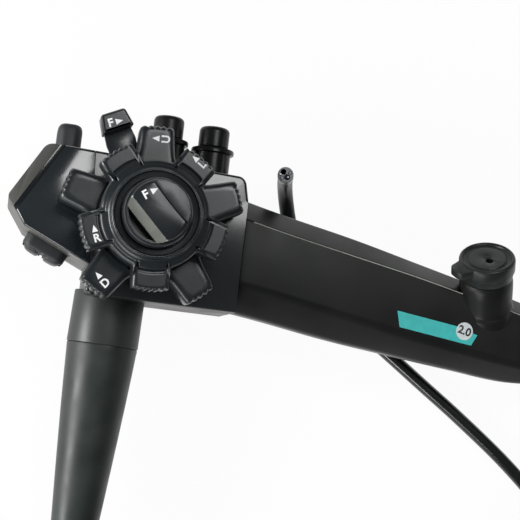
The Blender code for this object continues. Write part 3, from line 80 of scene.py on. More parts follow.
def set_camera():
    """Camera at the photograph's place and angle."""
    right = (0.94277, 0.28051, 0.18025)
    down = Vector((0.29726, -0.95199, -0.07322))
    ahead = Vector((0.15106, 0.12261, -0.98089))
    data = bpy.data.cameras.new("viewpoint")
    data.sensor_width = FILM_WIDTH
    data.lens = FILM_WIDTH * FOCAL_PIXELS / FRAME_PIXELS
    data.clip_start = 0.02
    data.clip_end = 20
    camera = bpy.data.objects.new("viewpoint", data)
    bpy.context.scene.collection.objects.link(camera)
    turn = Matrix((right, -down, -ahead)).transposed().to_4x4()
    camera.matrix_world = Matrix.Translation((-0.037578, -0.0669, 0.56949)) @ turn
    bpy.context.scene.camera = camera


def add_light(name, place, target, wide, tall, power):
    """Large soft box that looks at a point."""
    data = bpy.data.lights.new(name, "AREA")
    data.shape = "RECTANGLE"
    data.size = wide
    data.size_y = tall
    data.energy = power
    light = bpy.data.objects.new(name, data)
    bpy.context.scene.collection.objects.link(light)
    light.location = place
    light.rotation_euler = (Vector(target) - Vector(place)).to_track_quat("-Z", "Y").to_euler()


def combine(tree, operation, first, second):
    """Result of two values of a node tree, of which the second may be a plain number."""
    node = tree.nodes.new("ShaderNodeMath")
    node.operation = operation
    tree.links.new(first, node.inputs[0])
    if isinstance(second, float):
        node.inputs[1].default_value = second
    else:
        tree.links.new(second, node.inputs[1])
    return node.outputs[0]


def set_studio():
    """White table, pale world and four soft boxes."""
    bpy.context.scene.view_settings.view_transform = "Standard"
    world = bpy.data.worlds.new("studio")
    bpy.context.scene.world = world
    world.use_nodes = True
    nodes = world.node_tree.nodes
    links = world.node_tree.links
    back = nodes["Background"]
    back.inputs["Color"].default_value = (0.82, 0.88, 0.92, 1)
    back.inputs["Strength"].default_value = 0.16
    seen = nodes.new("ShaderNodeBackground")
    seen.inputs["Color"].default_value = (1, 1, 1, 1)
    seen.inputs["Strength"].default_value = 1.0
    rays = nodes.new("ShaderNodeLightPath")
    mix = nodes.new("ShaderNodeMixShader")
    links.new(rays.outputs["Is Camera Ray"], mix.inputs[0])
    links.new(back.outputs[0], mix.inputs[1])
    links.new(seen.outputs[0], mix.inputs[2])
    links.new(mix.outputs[0], nodes["World Output"].inputs[0])

    bpy.ops.object.select_all(action="DESELECT")
    bpy.ops.mesh.primitive_plane_add(size=6, location=(0.05, 0, 0))
    table = bpy.context.object
    table.name = "table"
    bpy.ops.object.transform_apply(location=True)
    look = bpy.data.materials.new("white_table")
    look.use_nodes = True
    nodes = look.node_tree.nodes
    links = look.node_tree.links
    shader = nodes["Principled BSDF"]
    shader.inputs["Base Color"].default_value = (0.86, 0.86, 0.86, 1)
    shader.inputs["Roughness"].default_value = 0.9
    shader.inputs["Specular IOR Level"].default_value = 0.1
    glow = nodes.new("ShaderNodeEmission")
    glow.inputs["Color"].default_value = (1, 1, 1, 1)
    rays = nodes.new("ShaderNodeLightPath")
    tree = look.node_tree
    either = combine(tree, "MAXIMUM", rays.outputs["Is Glossy Ray"], rays.outputs["Is Transmission Ray"])
    seen = combine(tree, "MAXIMUM", rays.outputs["Is Camera Ray"], either)
    mix = nodes.new("ShaderNodeMixShader")
    links.new(combine(tree, "MULTIPLY", seen, TABLE_GLOW), mix.inputs[0])
    links.new(shader.outputs[0], mix.inputs[1])
    links.new(glow.outputs[0], mix.inputs[2])
    links.new(mix.outputs[0], nodes["Material Output"].inputs[0])
    table.data.materials.append(look)
    add_light("high_box", (0.15, 0.39, 1.00), (0.15, 0.37, 0.0), 0.38, 0.34, 4.2)
    add_light("left_box", (-0.85, -0.30, 0.34), (0.0, -0.02, 0.03), 0.6, 0.34, 12.5)
    add_light("low_box", (-0.30, -0.85, 0.40), (0.02, 0.0, 0.03), 0.6, 0.28, 4.6)
    add_light("right_box", (0.95, 0.30, 0.30), (0.08, 0.0, 0.03), 0.4, 0.25, 0.5)


set_camera()
set_studio()


# Finishes


def start_look(name, rough, metal=0.0, coat=0.0, coat_rough=0.1, sheen=0.0, specular=0.5):
    """New material, and its Principled shader."""
    look = bpy.data.materials.new(name)
    look.use_nodes = True
    shader = look.node_tree.nodes["Principled BSDF"]
    shader.inputs["Roughness"].default_value = rough
    shader.inputs["Metallic"].default_value = metal
    shader.inputs["Coat Weight"].default_value = coat
    shader.inputs["Coat Roughness"].default_value = coat_rough
    shader.inputs["Sheen Weight"].default_value = sheen
    shader.inputs["Specular IOR Level"].default_value = specular
    return look, shader


def noise(look, scale, detail, stretch=(1, 1, 1)):
    """Noise on object coordinates, stretched per axis."""
    nodes = look.node_tree.nodes
    links = look.node_tree.links
    where = nodes.new("ShaderNodeTexCoord")
    mapping = nodes.new("ShaderNodeMapping")
    mapping.inputs["Scale"].default_value = stretch
    cloud = nodes.new("ShaderNodeTexNoise")
    cloud.inputs["Scale"].default_value = scale
    cloud.inputs["Detail"].default_value = detail
    links.new(where.outputs["Object"], mapping.inputs["Vector"])
    links.new(mapping.outputs[0], cloud.inputs["Vector"])
    return cloud.outputs["Fac"]


def colour_between(look, shader, fac, dark, light, low=0.35, high=0.65):
    """Base colour that wanders between two shades."""
    ramp = look.node_tree.nodes.new("ShaderNodeValToRGB")
    ramp.color_ramp.elements[0].position = low
    ramp.color_ramp.elements[1].position = high
    ramp.color_ramp.elements[0].color = (*dark, 1)
    ramp.color_ramp.elements[1].color = (*light, 1)
    look.node_tree.links.new(fac, ramp.inputs[0])
    look.node_tree.links.new(ramp.outputs[0], shader.inputs["Base Color"])


def rough_between(look, shader, fac, low, high):
    """Roughness that wanders between two values, as handling leaves it."""
    span = look.node_tree.nodes.new("ShaderNodeMapRange")
    span.inputs["From Min"].default_value = 0.3
    span.inputs["From Max"].default_value = 0.7
    span.inputs["To Min"].default_value = low
    span.inputs["To Max"].default_value = high
    look.node_tree.links.new(fac, span.inputs["Value"])
    look.node_tree.links.new(span.outputs[0], shader.inputs["Roughness"])


def raise_grain(look, shader, fac, depth, strength=1.0):
    """Fine relief of a surface, depth in millimetres."""
    bump = look.node_tree.nodes.new("ShaderNodeBump")
    bump.inputs["Strength"].default_value = strength
    bump.inputs["Distance"].default_value = depth * MM
    look.node_tree.links.new(fac, bump.inputs["Height"])
    look.node_tree.links.new(bump.outputs[0], shader.inputs["Normal"])


def moulded_plastic(name, dark, light, rough, grain, depth, coat=0.0, patch=22, coat_rough=0.1,
                    specular=0.5):
    """Moulded plastic with a spark-eroded grain and smears from gloved hands."""
    look, shader = start_look(name, rough, coat=coat, coat_rough=coat_rough, specular=specular)
    colour_between(look, shader, noise(look, patch, 5), dark, light)
    rough_between(look, shader, noise(look, 55, 6), rough - 0.07, rough + 0.08)
    raise_grain(look, shader, noise(look, grain, 2), depth)
    return look


def soft_rubber(name, dark, light, rough, sheen=0.15):
    """Matte rubber with a faint bloom and a fine skin."""
    look, shader = start_look(name, rough, sheen=sheen, specular=0.35)
    colour_between(look, shader, noise(look, 60, 6), dark, light)
    rough_between(look, shader, noise(look, 120, 4), rough - 0.06, rough + 0.08)
    raise_grain(look, shader, noise(look, 2600, 2), 0.015)
    return look


def turned_metal(name, shade, rough, grain=900):
    """Metal with fine tool marks."""
    look, shader = start_look(name, rough, metal=1.0)
    dark = tuple(0.82 * c for c in shade)
    colour_between(look, shader, noise(look, 90, 5), dark, shade)
    rough_between(look, shader, noise(look, grain, 3, (1, 1, 6)), rough - 0.05, rough + 0.1)
    raise_grain(look, shader, noise(look, grain, 3, (0.2, 0.2, 4)), 0.004)
    return look


def painted(name, shade, rough=0.45):
    """Filled marking paint, slightly uneven."""
    look, shader = start_look(name, rough)
    colour_between(look, shader, noise(look, 400, 4), tuple(0.88 * c for c in shade), shade)
    raise_grain(look, shader, noise(look, 3500, 2), 0.006)
    return look


def optical_glass():
    """Dark coated lens."""
    look, shader = start_look("optical_glass", 0.04, coat=1.0, coat_rough=0.02)
    colour_between(look, shader, noise(look, 700, 1), (0.010, 0.014, 0.030), (0.028, 0.022, 0.060))
    return look


LOOKS = {
    "housing": moulded_plastic("satin_black_housing", (0.008, 0.009, 0.010), (0.014, 0.016, 0.017), 0.22,
                               2200, 0.003, coat=0.7, coat_rough=0.12, specular=0.15),
    "cover": moulded_plastic("satin_cover", (0.009, 0.012, 0.014), (0.014, 0.018, 0.021), 0.24, 2200, 0.002,
                             coat=1.0, coat_rough=0.15, specular=0.15),
    # edge: lighter finish for the cover's chamfer and lower walls, a painted sheen for the light those sides
    # catch.
    "edge": moulded_plastic("cover_edge_painted_sheen", (0.028, 0.028, 0.025), (0.056, 0.055, 0.049), 0.40, 1800,
                            0.01),
    "grip": moulded_plastic("olive_black_grip", (0.0060, 0.0066, 0.0060), (0.0105, 0.0112, 0.0100), 0.36,
                            1900, 0.006, specular=0.20),
    "knob": moulded_plastic("charcoal_knob", (0.010, 0.0125, 0.0145), (0.016, 0.0195, 0.022), 0.28, 2400,
                            0.004, specular=0.45),
    "lock": moulded_plastic("lock_knob_plastic", (0.011, 0.013, 0.015), (0.017, 0.020, 0.022), 0.28, 2400,
                            0.005, specular=0.30),
    # band: pale grey, a painted highlight along the lock bar's bevelled edges and along the grip's crease
    # bead.
    "band": moulded_plastic("bar_edge_painted_highlight", (0.30, 0.31, 0.27), (0.38, 0.39, 0.35), 0.34, 1500, 0.006),
    # flank: lighter olive-grey copy of the lock plastic for the bar's flank, painted light where the flank
    # faces the lamps.
    "flank": moulded_plastic("lock_bar_flank_painted_light", (0.030, 0.032, 0.026), (0.085, 0.090, 0.076), 0.40, 1500,
                             0.010, patch=70),
    "valve": moulded_plastic("gloss_valve", (0.004, 0.004, 0.0045), (0.007, 0.007, 0.0075), 0.30, 3000,
                             0.002, specular=0.22),
    "rubber": soft_rubber("seal_rubber", (0.008, 0.009, 0.009), (0.014, 0.015, 0.015), 0.40, 0.03),
    "switch": soft_rubber("switch_rubber", (0.016, 0.018, 0.019), (0.026, 0.028, 0.030), 0.52, 0.06),
    "boot": soft_rubber("grey_green_boot", (0.015, 0.019, 0.017), (0.022, 0.027, 0.025), 0.42, 0.05),
    "collar": moulded_plastic("grey_green_collar", (0.016, 0.020, 0.018), (0.023, 0.027, 0.025), 0.42, 2000,
                              0.010),
    "cable": moulded_plastic("umbilical_jacket", (0.012, 0.014, 0.015), (0.020, 0.022, 0.023), 0.42, 1200,
                             0.012),
    "tube": moulded_plastic("insertion_jacket", (0.003, 0.0035, 0.0035), (0.006, 0.0065, 0.0065), 0.22,
                            1500, 0.003, coat=0.35, coat_rough=0.08),
    "sleeve": soft_rubber("bending_rubber", (0.005, 0.006, 0.007), (0.010, 0.011, 0.012), 0.34, 0.02),
    "tip": moulded_plastic("grey_tip_resin", (0.26, 0.27, 0.275), (0.36, 0.37, 0.375), 0.32, 2500, 0.003),
    "face": moulded_plastic("pale_tip_face", (0.22, 0.23, 0.235), (0.34, 0.35, 0.355), 0.36, 2500, 0.003,
                            patch=400),
    "steel": turned_metal("satin_steel", (0.62, 0.63, 0.64), 0.28),
    "brass": turned_metal("bearing_brass", (0.70, 0.56, 0.30), 0.34),
    "brake": soft_rubber("brake_lining", (0.20, 0.17, 0.14), (0.28, 0.25, 0.21), 0.80, 0.0),
    "lens": optical_glass(),
    "white": painted("marking_white", (0.90, 0.91, 0.91)),
    "teal": painted("teal_band", (0.045, 0.50, 0.48), 0.38),
    "disc": painted("label_disc", (0.66, 0.70, 0.70)),
    "print": painted("dark_print", (0.04, 0.045, 0.05)),
}


FINISH_BY_WORD = (
    ("tip", "light_lens"),
    ("steel", "shaft post plate spring link base port prong pipe socket nipple ring"),
    ("brass", "drum sleeve"),
    ("brake", "brake"),
    ("lens", "lens"),
    ("steel", "nozzle"),
    ("rubber", "boot"),
    ("cable", "coil cable tail"),
    ("tube", "tube"),
    ("knob", "knob lever"),
    ("grip", "grip"),
    ("valve", "button cylinder"),
    ("switch", "switch"),
    ("rubber", "seal"),
)


def dress_frame():
    """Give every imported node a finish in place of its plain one, by the first word that its name holds."""
    for name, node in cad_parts.items():
        found = [look for look, words in FINISH_BY_WORD for word in words.split() if word in name]
        node.data.materials.clear()
        node.data.materials.append(LOOKS[found[0] if found else "housing"])


dress_frame()


# Ways of shaping a piece


def circle(name, sides, radius, height, fill="NGON"):
    """Circle round Z, applied in place."""
    bpy.ops.object.select_all(action="DESELECT")
    bpy.ops.mesh.primitive_circle_add(vertices=sides, radius=radius * MM, fill_type=fill,
                                      location=(0, 0, height * MM))
    piece = bpy.context.object
    piece.name = name
    piece.data.name = name
    bpy.ops.object.transform_apply(location=True, rotation=True, scale=True)
    return piece


def close_up(merge=False):
    """Leave edit mode with the faces turned outwards."""
    bpy.ops.mesh.select_all(action="SELECT")
    if merge:
        bpy.ops.mesh.remove_doubles(threshold=0.00001)
    bpy.ops.mesh.normals_make_consistent(inside=False)
    bpy.ops.object.mode_set(mode="OBJECT")


def turned(name, profile, sides=72, ring=False):
    """Round piece drawn up from its first radius and height; a ring is open in the middle."""
    radius, height = profile[0]
    piece = circle(name, sides, radius, height, "NOTHING" if ring else "NGON")
    bpy.ops.object.mode_set(mode="EDIT")
    bpy.ops.mesh.select_all(action="SELECT")
    for wide, tall in profile[1:] + (profile[:1] if ring else []):
        bpy.ops.mesh.extrude_region_move(TRANSFORM_OT_translate={"value": (0, 0, (tall - height) * MM)})
        bpy.ops.transform.resize(value=(wide / radius, wide / radius, 1))
        radius, height = wide, tall
    close_up(merge=ring)
    return piece


def shape_ring(piece, keys, ring):
    """Move the selected ring of points onto its new places."""
    grid = bmesh.from_edit_mesh(piece.data)
    near = {tuple(round(c * 1e6) for c in v.co): v for v in grid.verts if v.select}
    moved = []
    for key, spot in zip(keys, ring):
        near[key].co = Vector(spot) * MM
        moved.append(tuple(round(c * 1e6) for c in near[key].co))
    bmesh.update_edit_mesh(piece.data)
    return moved


def drawn(name, rings):
    """Piece drawn through rings of equal count, each a list of points in millimetres."""
    piece = circle(name, len(rings[0]), 10.0, 0.0)
    bpy.ops.object.mode_set(mode="EDIT")
    bpy.ops.mesh.select_all(action="SELECT")
    grid = bmesh.from_edit_mesh(piece.data)
    keys = [tuple(round(c * 1e6) for c in v.co) for v in grid.verts]
    keys = shape_ring(piece, keys, rings[0])
    for ring in rings[1:]:
        bpy.ops.mesh.extrude_region_move(TRANSFORM_OT_translate={"value": (0, 0, 0)})
        keys = shape_ring(piece, keys, ring)
    close_up()
    return piece


def slab(name, outline, low, high):
    """Flat piece with an outline in X and Y."""
    return drawn(name, [[(x, y, low) for x, y in outline], [(x, y, high) for x, y in outline]])


def prism(name, section, half):
    """Long piece along X with a section in Y and Z."""
    return drawn(name, [[(x, y, z) for y, z in section] for x in (-half, half)])


def rounded(corners, radii, steps=6):
    """Outline with its corners rounded."""
    points = []
    count = len(corners)
    for i, (corner, radius) in enumerate(zip(corners, radii)):
        here = Vector(corner)
        back = (Vector(corners[i - 1]) - here).normalized()
        ahead = (Vector(corners[(i + 1) % count]) - here).normalized()
        if radius <= 0:
            points.append(tuple(here))
            continue
        half = back.angle(ahead) / 2
        centre = here + (back + ahead).normalized() * radius / math.sin(half)
        start = here + back * radius / math.tan(half) - centre
        sweep = math.copysign(math.pi - 2 * half, -back.cross(ahead))
        for step in range(steps + 1):
            angle = sweep * step / steps
            x = start.x * math.cos(angle) - start.y * math.sin(angle)
            y = start.x * math.sin(angle) + start.y * math.cos(angle)
            points.append((centre.x + x, centre.y + y))
    return points


def inset_outline(outline, trim):
    """Outline moved inwards by a distance, point by point."""
    if not trim:
        return list(outline)
    area = sum(a[0] * b[1] - b[0] * a[1] for a, b in zip(outline, outline[1:] + outline[:1]))
    side = 1 if area > 0 else -1
    count = len(outline)
    moved = []
    for i in range(count):
        back = Vector(outline[i]) - Vector(outline[i - 1])
        ahead = Vector(outline[(i + 1) % count]) - Vector(outline[i])
        back = back.normalized() if back.length > 1e-6 else ahead.normalized()
        ahead = ahead.normalized() if ahead.length > 1e-6 else back
        first = Vector((-back.y, back.x)) * side
        second = Vector((-ahead.y, ahead.x)) * side
        mean = (first + second).normalized()
        moved.append(tuple(Vector(outline[i]) + mean * trim / max(mean.dot(first), 0.5)))
    return moved


def place_at(piece, matrix):
    """Put a piece in place and apply the place to its mesh."""
    only(piece)
    piece.matrix_world = matrix
    bpy.ops.object.transform_apply(location=True, rotation=True, scale=True)
    return piece


def close_shell(piece):
    """Turn the faces of a piece outwards after a place that mirrors it."""
    only(piece)
    bpy.ops.object.mode_set(mode="EDIT")
    close_up(merge=True)


def soften(piece, width, segments=3, angle=32):
    """Round the sharp edges."""
    only(piece)
    edge = piece.modifiers.new("edge", "BEVEL")
    edge.width = width * MM
    edge.segments = segments
    edge.limit_method = "ANGLE"
    edge.angle_limit = math.radians(angle)
    edge.use_clamp_overlap = True
    bpy.ops.object.modifier_apply(modifier="edge")
    return piece


def cut(piece, tool, how="DIFFERENCE"):
    """Combine a piece with a tool, which is used up."""
    only(piece)
    made = piece.modifiers.new("cut", "BOOLEAN")
    made.operation = how
    made.object = tool
    made.solver = "EXACT"
    bpy.ops.object.modifier_apply(modifier="cut")
    bpy.data.objects.remove(tool)
    return piece


def add_looks(piece, *looks):
    """Give a piece several finishes, which its faces choose from by number."""
    for look in looks:
        piece.data.materials.append(LOOKS[look])


def finish(piece, look, body, *nodes, angle=34):
    """Give a piece its finish and the body and nodes that it stands for."""
    only(piece)
    if not piece.data.materials:
        piece.data.materials.append(LOOKS[look])
    bpy.ops.object.shade_smooth_by_angle(angle=math.radians(angle))
    if body:
        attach(piece, body)
    if nodes:
        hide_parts(*nodes)
    return piece


# Cords


def smooth_route(anchors, spacing):
    """Points evenly spaced along a smooth curve through anchors, all in the anchors' unit."""
    fine = []
    count = len(anchors)
    for i in range(count - 1):
        a = anchors[max(i - 1, 0)]
        b, c = anchors[i], anchors[i + 1]
        d = anchors[min(i + 2, count - 1)]
        for step in range(24):
            t = step / 24
            fine.append(0.5 * ((2 * b) + (c - a) * t + (2 * a - 5 * b + 4 * c - d) * t * t
                               + (3 * b - a - 3 * c + d) * t * t * t))
    fine.append(anchors[-1])
    total = sum((q - p).length for p, q in zip(fine, fine[1:]))
    pieces = max(2, round(total / spacing))
    points = [fine[0]]
    walked = 0.0
    goal = total / pieces
    for p, q in zip(fine, fine[1:]):
        length = (q - p).length
        while length > 0 and walked + length >= goal - 1e-9 and len(points) < pieces:
            points.append(p + (q - p) * ((goal - walked) / length))
            goal += total / pieces
        walked += length
    points.append(fine[-1])
    return points


def ease(value, start, end):
    """Smooth step from 0 to 1 between start and end."""
    t = min(max((value - start) / (end - start), 0.0), 1.0)
    return t * t * (3 - 2 * t)


def coil_point(centre, degrees, reach, height):
    """Point of a coil at an angle round its centre, in millimetres."""
    turn = math.radians(degrees)
    return Vector((centre[0] + reach * math.cos(turn), centre[1] + reach * math.sin(turn), height)) * MM


def umbilical_route():
    """Umbilical from its boot into a flat coil of two layers and on to its connector."""
    out = BOOT_OUT
    start = BOOT_FOOT * MM + out * 104.1 * MM
    centre = (82, -215)
    cord = 11.6
    floor = 5.9
    outside = 76.2
    near = [start, start + out * 12 * MM, start + out * 34 * MM + Vector((-5, 0, -7)) * MM,
            coil_point(centre, 172, outside + 3, floor + 2), coil_point(centre, 184, outside, floor)]
    points = smooth_route(near, 6 * MM)[:-1]
    pitch = cord + 0.1
    outer = 64.3
    inner = 52.7
    for degrees in range(184, 1418, 6):
        reach = outer + (outside - outer) * (1 - ease(degrees, 184, 226))
        reach -= (outer - inner) * ease(degrees, 542, 586)
        reach += (outer - inner) * ease(degrees, 1188, 1224)
        height = floor + pitch * ease(degrees, 862, 904)
        fall = ease(degrees, 1366, 1418) * math.pi / 2
        if fall > 0:
            reach = outer + (outside - outer) * math.sin(fall)
            height = floor + pitch * math.cos(fall)
        points.append(coil_point(centre, degrees, reach, height))
    plug = Vector((160.5, -189, 21.1)) * MM
    tail = [coil_point(centre, -20, outside, floor), coil_point(centre, -10, outside + 1.2, floor + 1),
            plug + Vector((0.4, -20, -6)) * MM, plug - Vector((0, 9, 0)) * MM,
            plug - Vector((0, 0.3, 0)) * MM]
    return points + smooth_route(tail, 6 * MM)


def insertion_route():
    """Insertion tube from its boot into a small coil and under the grip to the bending section."""
    centre = (227, -38)
    floor = 2.75
    cord = 5.3
    outside = 37.25
    start = Vector((218.9, 0, 23.5)) * MM
    near = [start, start + Vector((7, 0, 0)) * MM, Vector((242.5, -1.5, 18)) * MM,
            Vector((256.5, -8, 9)) * MM, coil_point(centre, 22, outside + 0.4, floor + 1),
            coil_point(centre, 8, outside, floor)]
    points = smooth_route(near, 4 * MM)[:-1]
    pitch = cord + 0.02
    outer = 31.65
    inner = 26.33
    for turned_by in range(0, 1568, 8):
        reach = outer + (outside - outer) * (1 - ease(turned_by, 0, 46))
        reach -= (outer - inner) * ease(turned_by, 358, 404)
        reach += (outer - inner) * ease(turned_by, 1000, 1040)
        height = floor + pitch * (ease(turned_by, 672, 716) + ease(turned_by, 1308, 1352))
        fall = ease(turned_by, 1440, 1520) * math.pi / 2
        if fall > 0:
            reach = outer + (outside - outer) * math.sin(fall)
            height = floor + pitch * (1 + math.cos(fall)) - pitch * ease(turned_by, 1500, 1568)
        points.append(coil_point(centre, 8 - turned_by, reach, height))
    heading = math.radians(120.4)
    ahead = Vector((math.cos(heading), math.sin(heading), 0))
    end = Vector((56.4, 21.9, floor)) * MM - ahead * 3.3 * MM
    far = [coil_point(centre, 238, outside, floor)]
    for x, y in ((198.5, -64.4), (185, -54.6), (167, -43.8), (145, -32.8), (127.8, -24.9), (111.1, -17.2),
                 (94, -9.4), (77, -0.6), (66.5, 6.8)):
        far.append(Vector((x, y, floor)) * MM)
    far += [end - ahead * 6 * MM, end]
    return points + smooth_route(far, 4 * MM)


def cord_curve(name, points, radius, look, facets=6):
    """Round cord as a curve of one spline."""
    curve = bpy.data.curves.new(name, "CURVE")
    curve.dimensions = "3D"
    curve.bevel_depth = radius * MM
    curve.bevel_resolution = facets
    curve.use_fill_caps = True
    spline = curve.splines.new("POLY")
    spline.points.add(len(points) - 1)
    for spot, co in zip(spline.points, points):
        spot.co = (*co, 1)
    spline.use_smooth = True
    piece = bpy.data.objects.new(name, curve)
    bpy.context.scene.collection.objects.link(piece)
    curve.materials.append(LOOKS[look])
    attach(piece, "control_body")
    return piece


umbilical_points = umbilical_route()
umbilical = cord_curve("umbilical_jacket", umbilical_points, 5.8, "cable", 7)
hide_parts("umbilical_cable", "umbilical_coil", "umbilical_tail")
insertion_points = insertion_route()
insertion = cord_curve("insertion_jacket", insertion_points, 2.65, "tube", 7)
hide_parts("insertion_tube_near", "insertion_coil", "insertion_tube_far")


# Angulation knobs


LOBES = 5
SPOTS_PER_LOBE = 108
Lobes = namedtuple("Lobes", "tip valley first half flank power notches")


def soft_min(a, b, reach):
    """Smaller of two numbers with the corner between them rounded."""
    share = min(max(0.5 + 0.5 * (b - a) / reach, 0.0), 1.0)
    return b + (a - b) * share - reach * share * (1 - share)


def lobe_radius(offset, form, trim):
    """Radius of a knob's outline at degrees from the middle of a lobe, pulled in by trim."""
    half = form.half - math.degrees(trim / form.tip)
    away = abs(offset)
    share = (away - half) / form.flank
    side = form.valley + (form.tip - form.valley) * max(1 - share, 0.0) ** form.power
    radius = soft_min(form.tip, side, 2.2)
    if away < half - 0.4 and trim < 0.9:
        radius -= 0.62 * (1 - abs(math.cos(math.pi * form.notches * offset / (2 * half))))
    bulb = 0.45 * math.exp(-((away - half - 0.9) / 1.3) ** 2) if trim < 1.6 else 0.0
    return radius - trim + bulb


def lobed_ring(form, trim, height, reach=99, hub=None):
    """Ring of a knob's outline; reach caps its radius, and hub is its height between the lobes."""
    ring = []
    pitch = 360 / LOBES
    for i in range(LOBES * SPOTS_PER_LOBE):
        angle = i * 360 / (LOBES * SPOTS_PER_LOBE)
        offset = (angle - form.first + pitch / 2) % pitch - pitch / 2
        radius = min(lobe_radius(offset, form, trim), reach)
        turn = math.radians(angle)
        rise = 0.0
        if hub is not None:
            edge = lobe_radius(offset, form, 0.95)
            rise = (hub - height) * (1 - ease(edge, form.valley - 0.75, form.valley + 1.3))
        ring.append((radius * math.cos(turn), radius * math.sin(turn), height + rise))
    return ring


def round_ring(radius, height):
    """Plain ring with as many points as a lobed one."""
    count = LOBES * SPOTS_PER_LOBE
    return [(radius * math.cos(math.tau * i / count), radius * math.sin(math.tau * i / count), height)
            for i in range(count)]


def make_knobs():
    """U/D knob below and R/L knob on top of it, each with thumb lobes and serrated tips."""
    low = 45.6
    high = 57.1
    form = Lobes(tip=33.35, valley=22.4, first=31.2, half=10.0, flank=9.5, power=1.6, notches=5)
    edge = ((2.9, 0.0), (2.0, 0.0), (1.3, 0.14), (0.65, 0.5), (0.2, 1.15), (0.0, 2.0))
    rings = [round_ring(19.9, high - 2.6), round_ring(19.9, low)]
    rings += [lobed_ring(form, trim, low + rise) for trim, rise in edge[1:]]
    rings += [lobed_ring(form, trim, high - rise) for trim, rise in reversed(edge)]
    rings += [round_ring(20.2, high), round_ring(20.0, high), round_ring(19.7, high - 0.15)]
    finish(drawn("ud_knob_body", rings), "knob", "ud_knob", "ud_knob")
    low = 57.7
    lobe = 67.0
    form = Lobes(tip=26.55, valley=19.3, first=67.2, half=14.4, flank=8.0, power=2.2, notches=6)
    rings = [round_ring(16.6, 66.0), round_ring(16.6, low)]
    edge = ((1.2, 0), (0.6, 0.2), (0.2, 0.6), (0, 1.2))
    rings += [lobed_ring(form, trim, low + rise) for trim, rise in edge]
    for trim, reach, height, hub in ((0.0, 99, lobe - 1.7, 67.0), (0.15, 99, lobe - 1.0, 67.6),
                                     (0.5, 99, lobe - 0.42, 68.1), (1.0, 99, lobe - 0.1, 68.45),
                                     (1.6, 99, lobe, 68.64), (1.68, 25.0, lobe, 68.68),
                                     (1.7, 21.1, lobe, 68.70), (1.72, 20.9, lobe, 68.71),
                                     (1.75, 20.55, lobe - 0.12, 68.74), (1.78, 20.35, lobe - 0.6, 68.77),
                                     (1.81, 19.75, lobe - 0.7, 68.80), (1.84, 19.55, lobe - 0.3, 68.82),
                                     (1.87, 19.45, lobe + 0.7, 68.84), (1.90, 19.25, lobe + 1.25, 68.86),
                                     (1.95, 18.9, lobe + 1.6, 68.88), (2.05, 18.3, lobe + 1.82, 68.92)):
        rings.append(lobed_ring(form, trim, height, reach, hub))
    dome = ((16.9, 69.15), (16.3, 69.4), (16.0, 69.8), (15.88, 70.3), (15.8, 71.4), (15.68, 71.9),
            (15.45, 72.25), (15.15, 72.4), (14.9, 72.38), (14.7, 72.2), (14.55, 71.95), (14.3, 71.8),
            (13.0, 71.72), (12.6, 71.6), (12.45, 71.3), (12.45, 69.2))
    rings += [round_ring(radius, height) for radius, height in dome]
    finish(drawn("rl_knob_body", rings), "knob", "rl_knob", "rl_knob", angle=40)


def make_lock_knob():
    """R/L lock knob: a disc with a wide bar across it, one flank bevelled down to a deep recess."""
    disc_top = 77.25
    bar_top = 80.75
    flank_normal = -0.781
    profile = [(11.9, 70.75), (12.15, 71.0), (12.15, 73.6), (12.0, 75.9), (11.85, 76.6), (11.5, 77.1),
               (11.05, disc_top), (10.6, 77.2), (10.4, 77.0)]
    knob = turned("rl_lock_body", profile, 96)
    profile = [(10.75, 75), (10.75, 79.3), (10.6, 80.0), (10.2, 80.5), (9.6, bar_top)]
    bar = turned("bar", profile, 96)
    flank = [(-4.3, 82), (-4.3, bar_top), (-7.1, disc_top), (-7.1, 74), (-20, 74), (-20, 82)]
    cut(bar, prism("flank", flank, 30))
    arc = [(x, 4.9 - 0.75 * math.cos(math.radians(x * 6))) for x in range(-14, 15, 2)]
    field = slab("field", arc + [(14, 20), (-14, 20)], 80.45, 90)
    lean = Matrix.Translation((0, 0.0045, 0.08045)) @ Matrix.Rotation(math.radians(-4), 4, "X")
    cut(bar, place_at(field, lean @ Matrix.Translation((0, -0.0045, -0.08045))))
    groove = slab("groove", arc + [(x, y + 0.42) for x, y in reversed(arc)], 79.85, 90)
    cut(bar, groove)
    cut(knob, bar, "UNION")
    angles = [math.radians(degrees) for degrees in range(-134, -45, 4)]
    arc = [(10.15 * math.cos(angle), 10.15 * math.sin(angle)) for angle in angles]
    cut(knob, slab("recess", arc, 73.4, 90))
    soften(knob, 0.4, 3, 30)
    add_looks(knob, "lock", "flank", "band", "grip")
    for face in knob.data.polygons:
        spot = face.center * 1000
        # Main flank faces take the lighter flank finish, painted light; its bevel faces take the pale band
        # finish, a painted highlight.
        if face.normal.y < -0.3 and 0.3 < face.normal.z < 0.95 and -7.4 < spot.y < -4.0 and spot.z > 77.0:
            face.material_index = 1 if abs(face.normal.y - flank_normal) < 0.03 and face.area > 2e-6 else 2
        # The recess floor takes the darker, less glossy grip finish: painted shade in the recess.
        if face.normal.z > 0.9 and 73.0 < spot.z < 73.8:
            face.material_index = 3
    place_at(knob, Matrix.Rotation(math.radians(-34.7), 4, "Z"))
    finish(knob, "lock", "rl_lock", "rl_lock_knob")


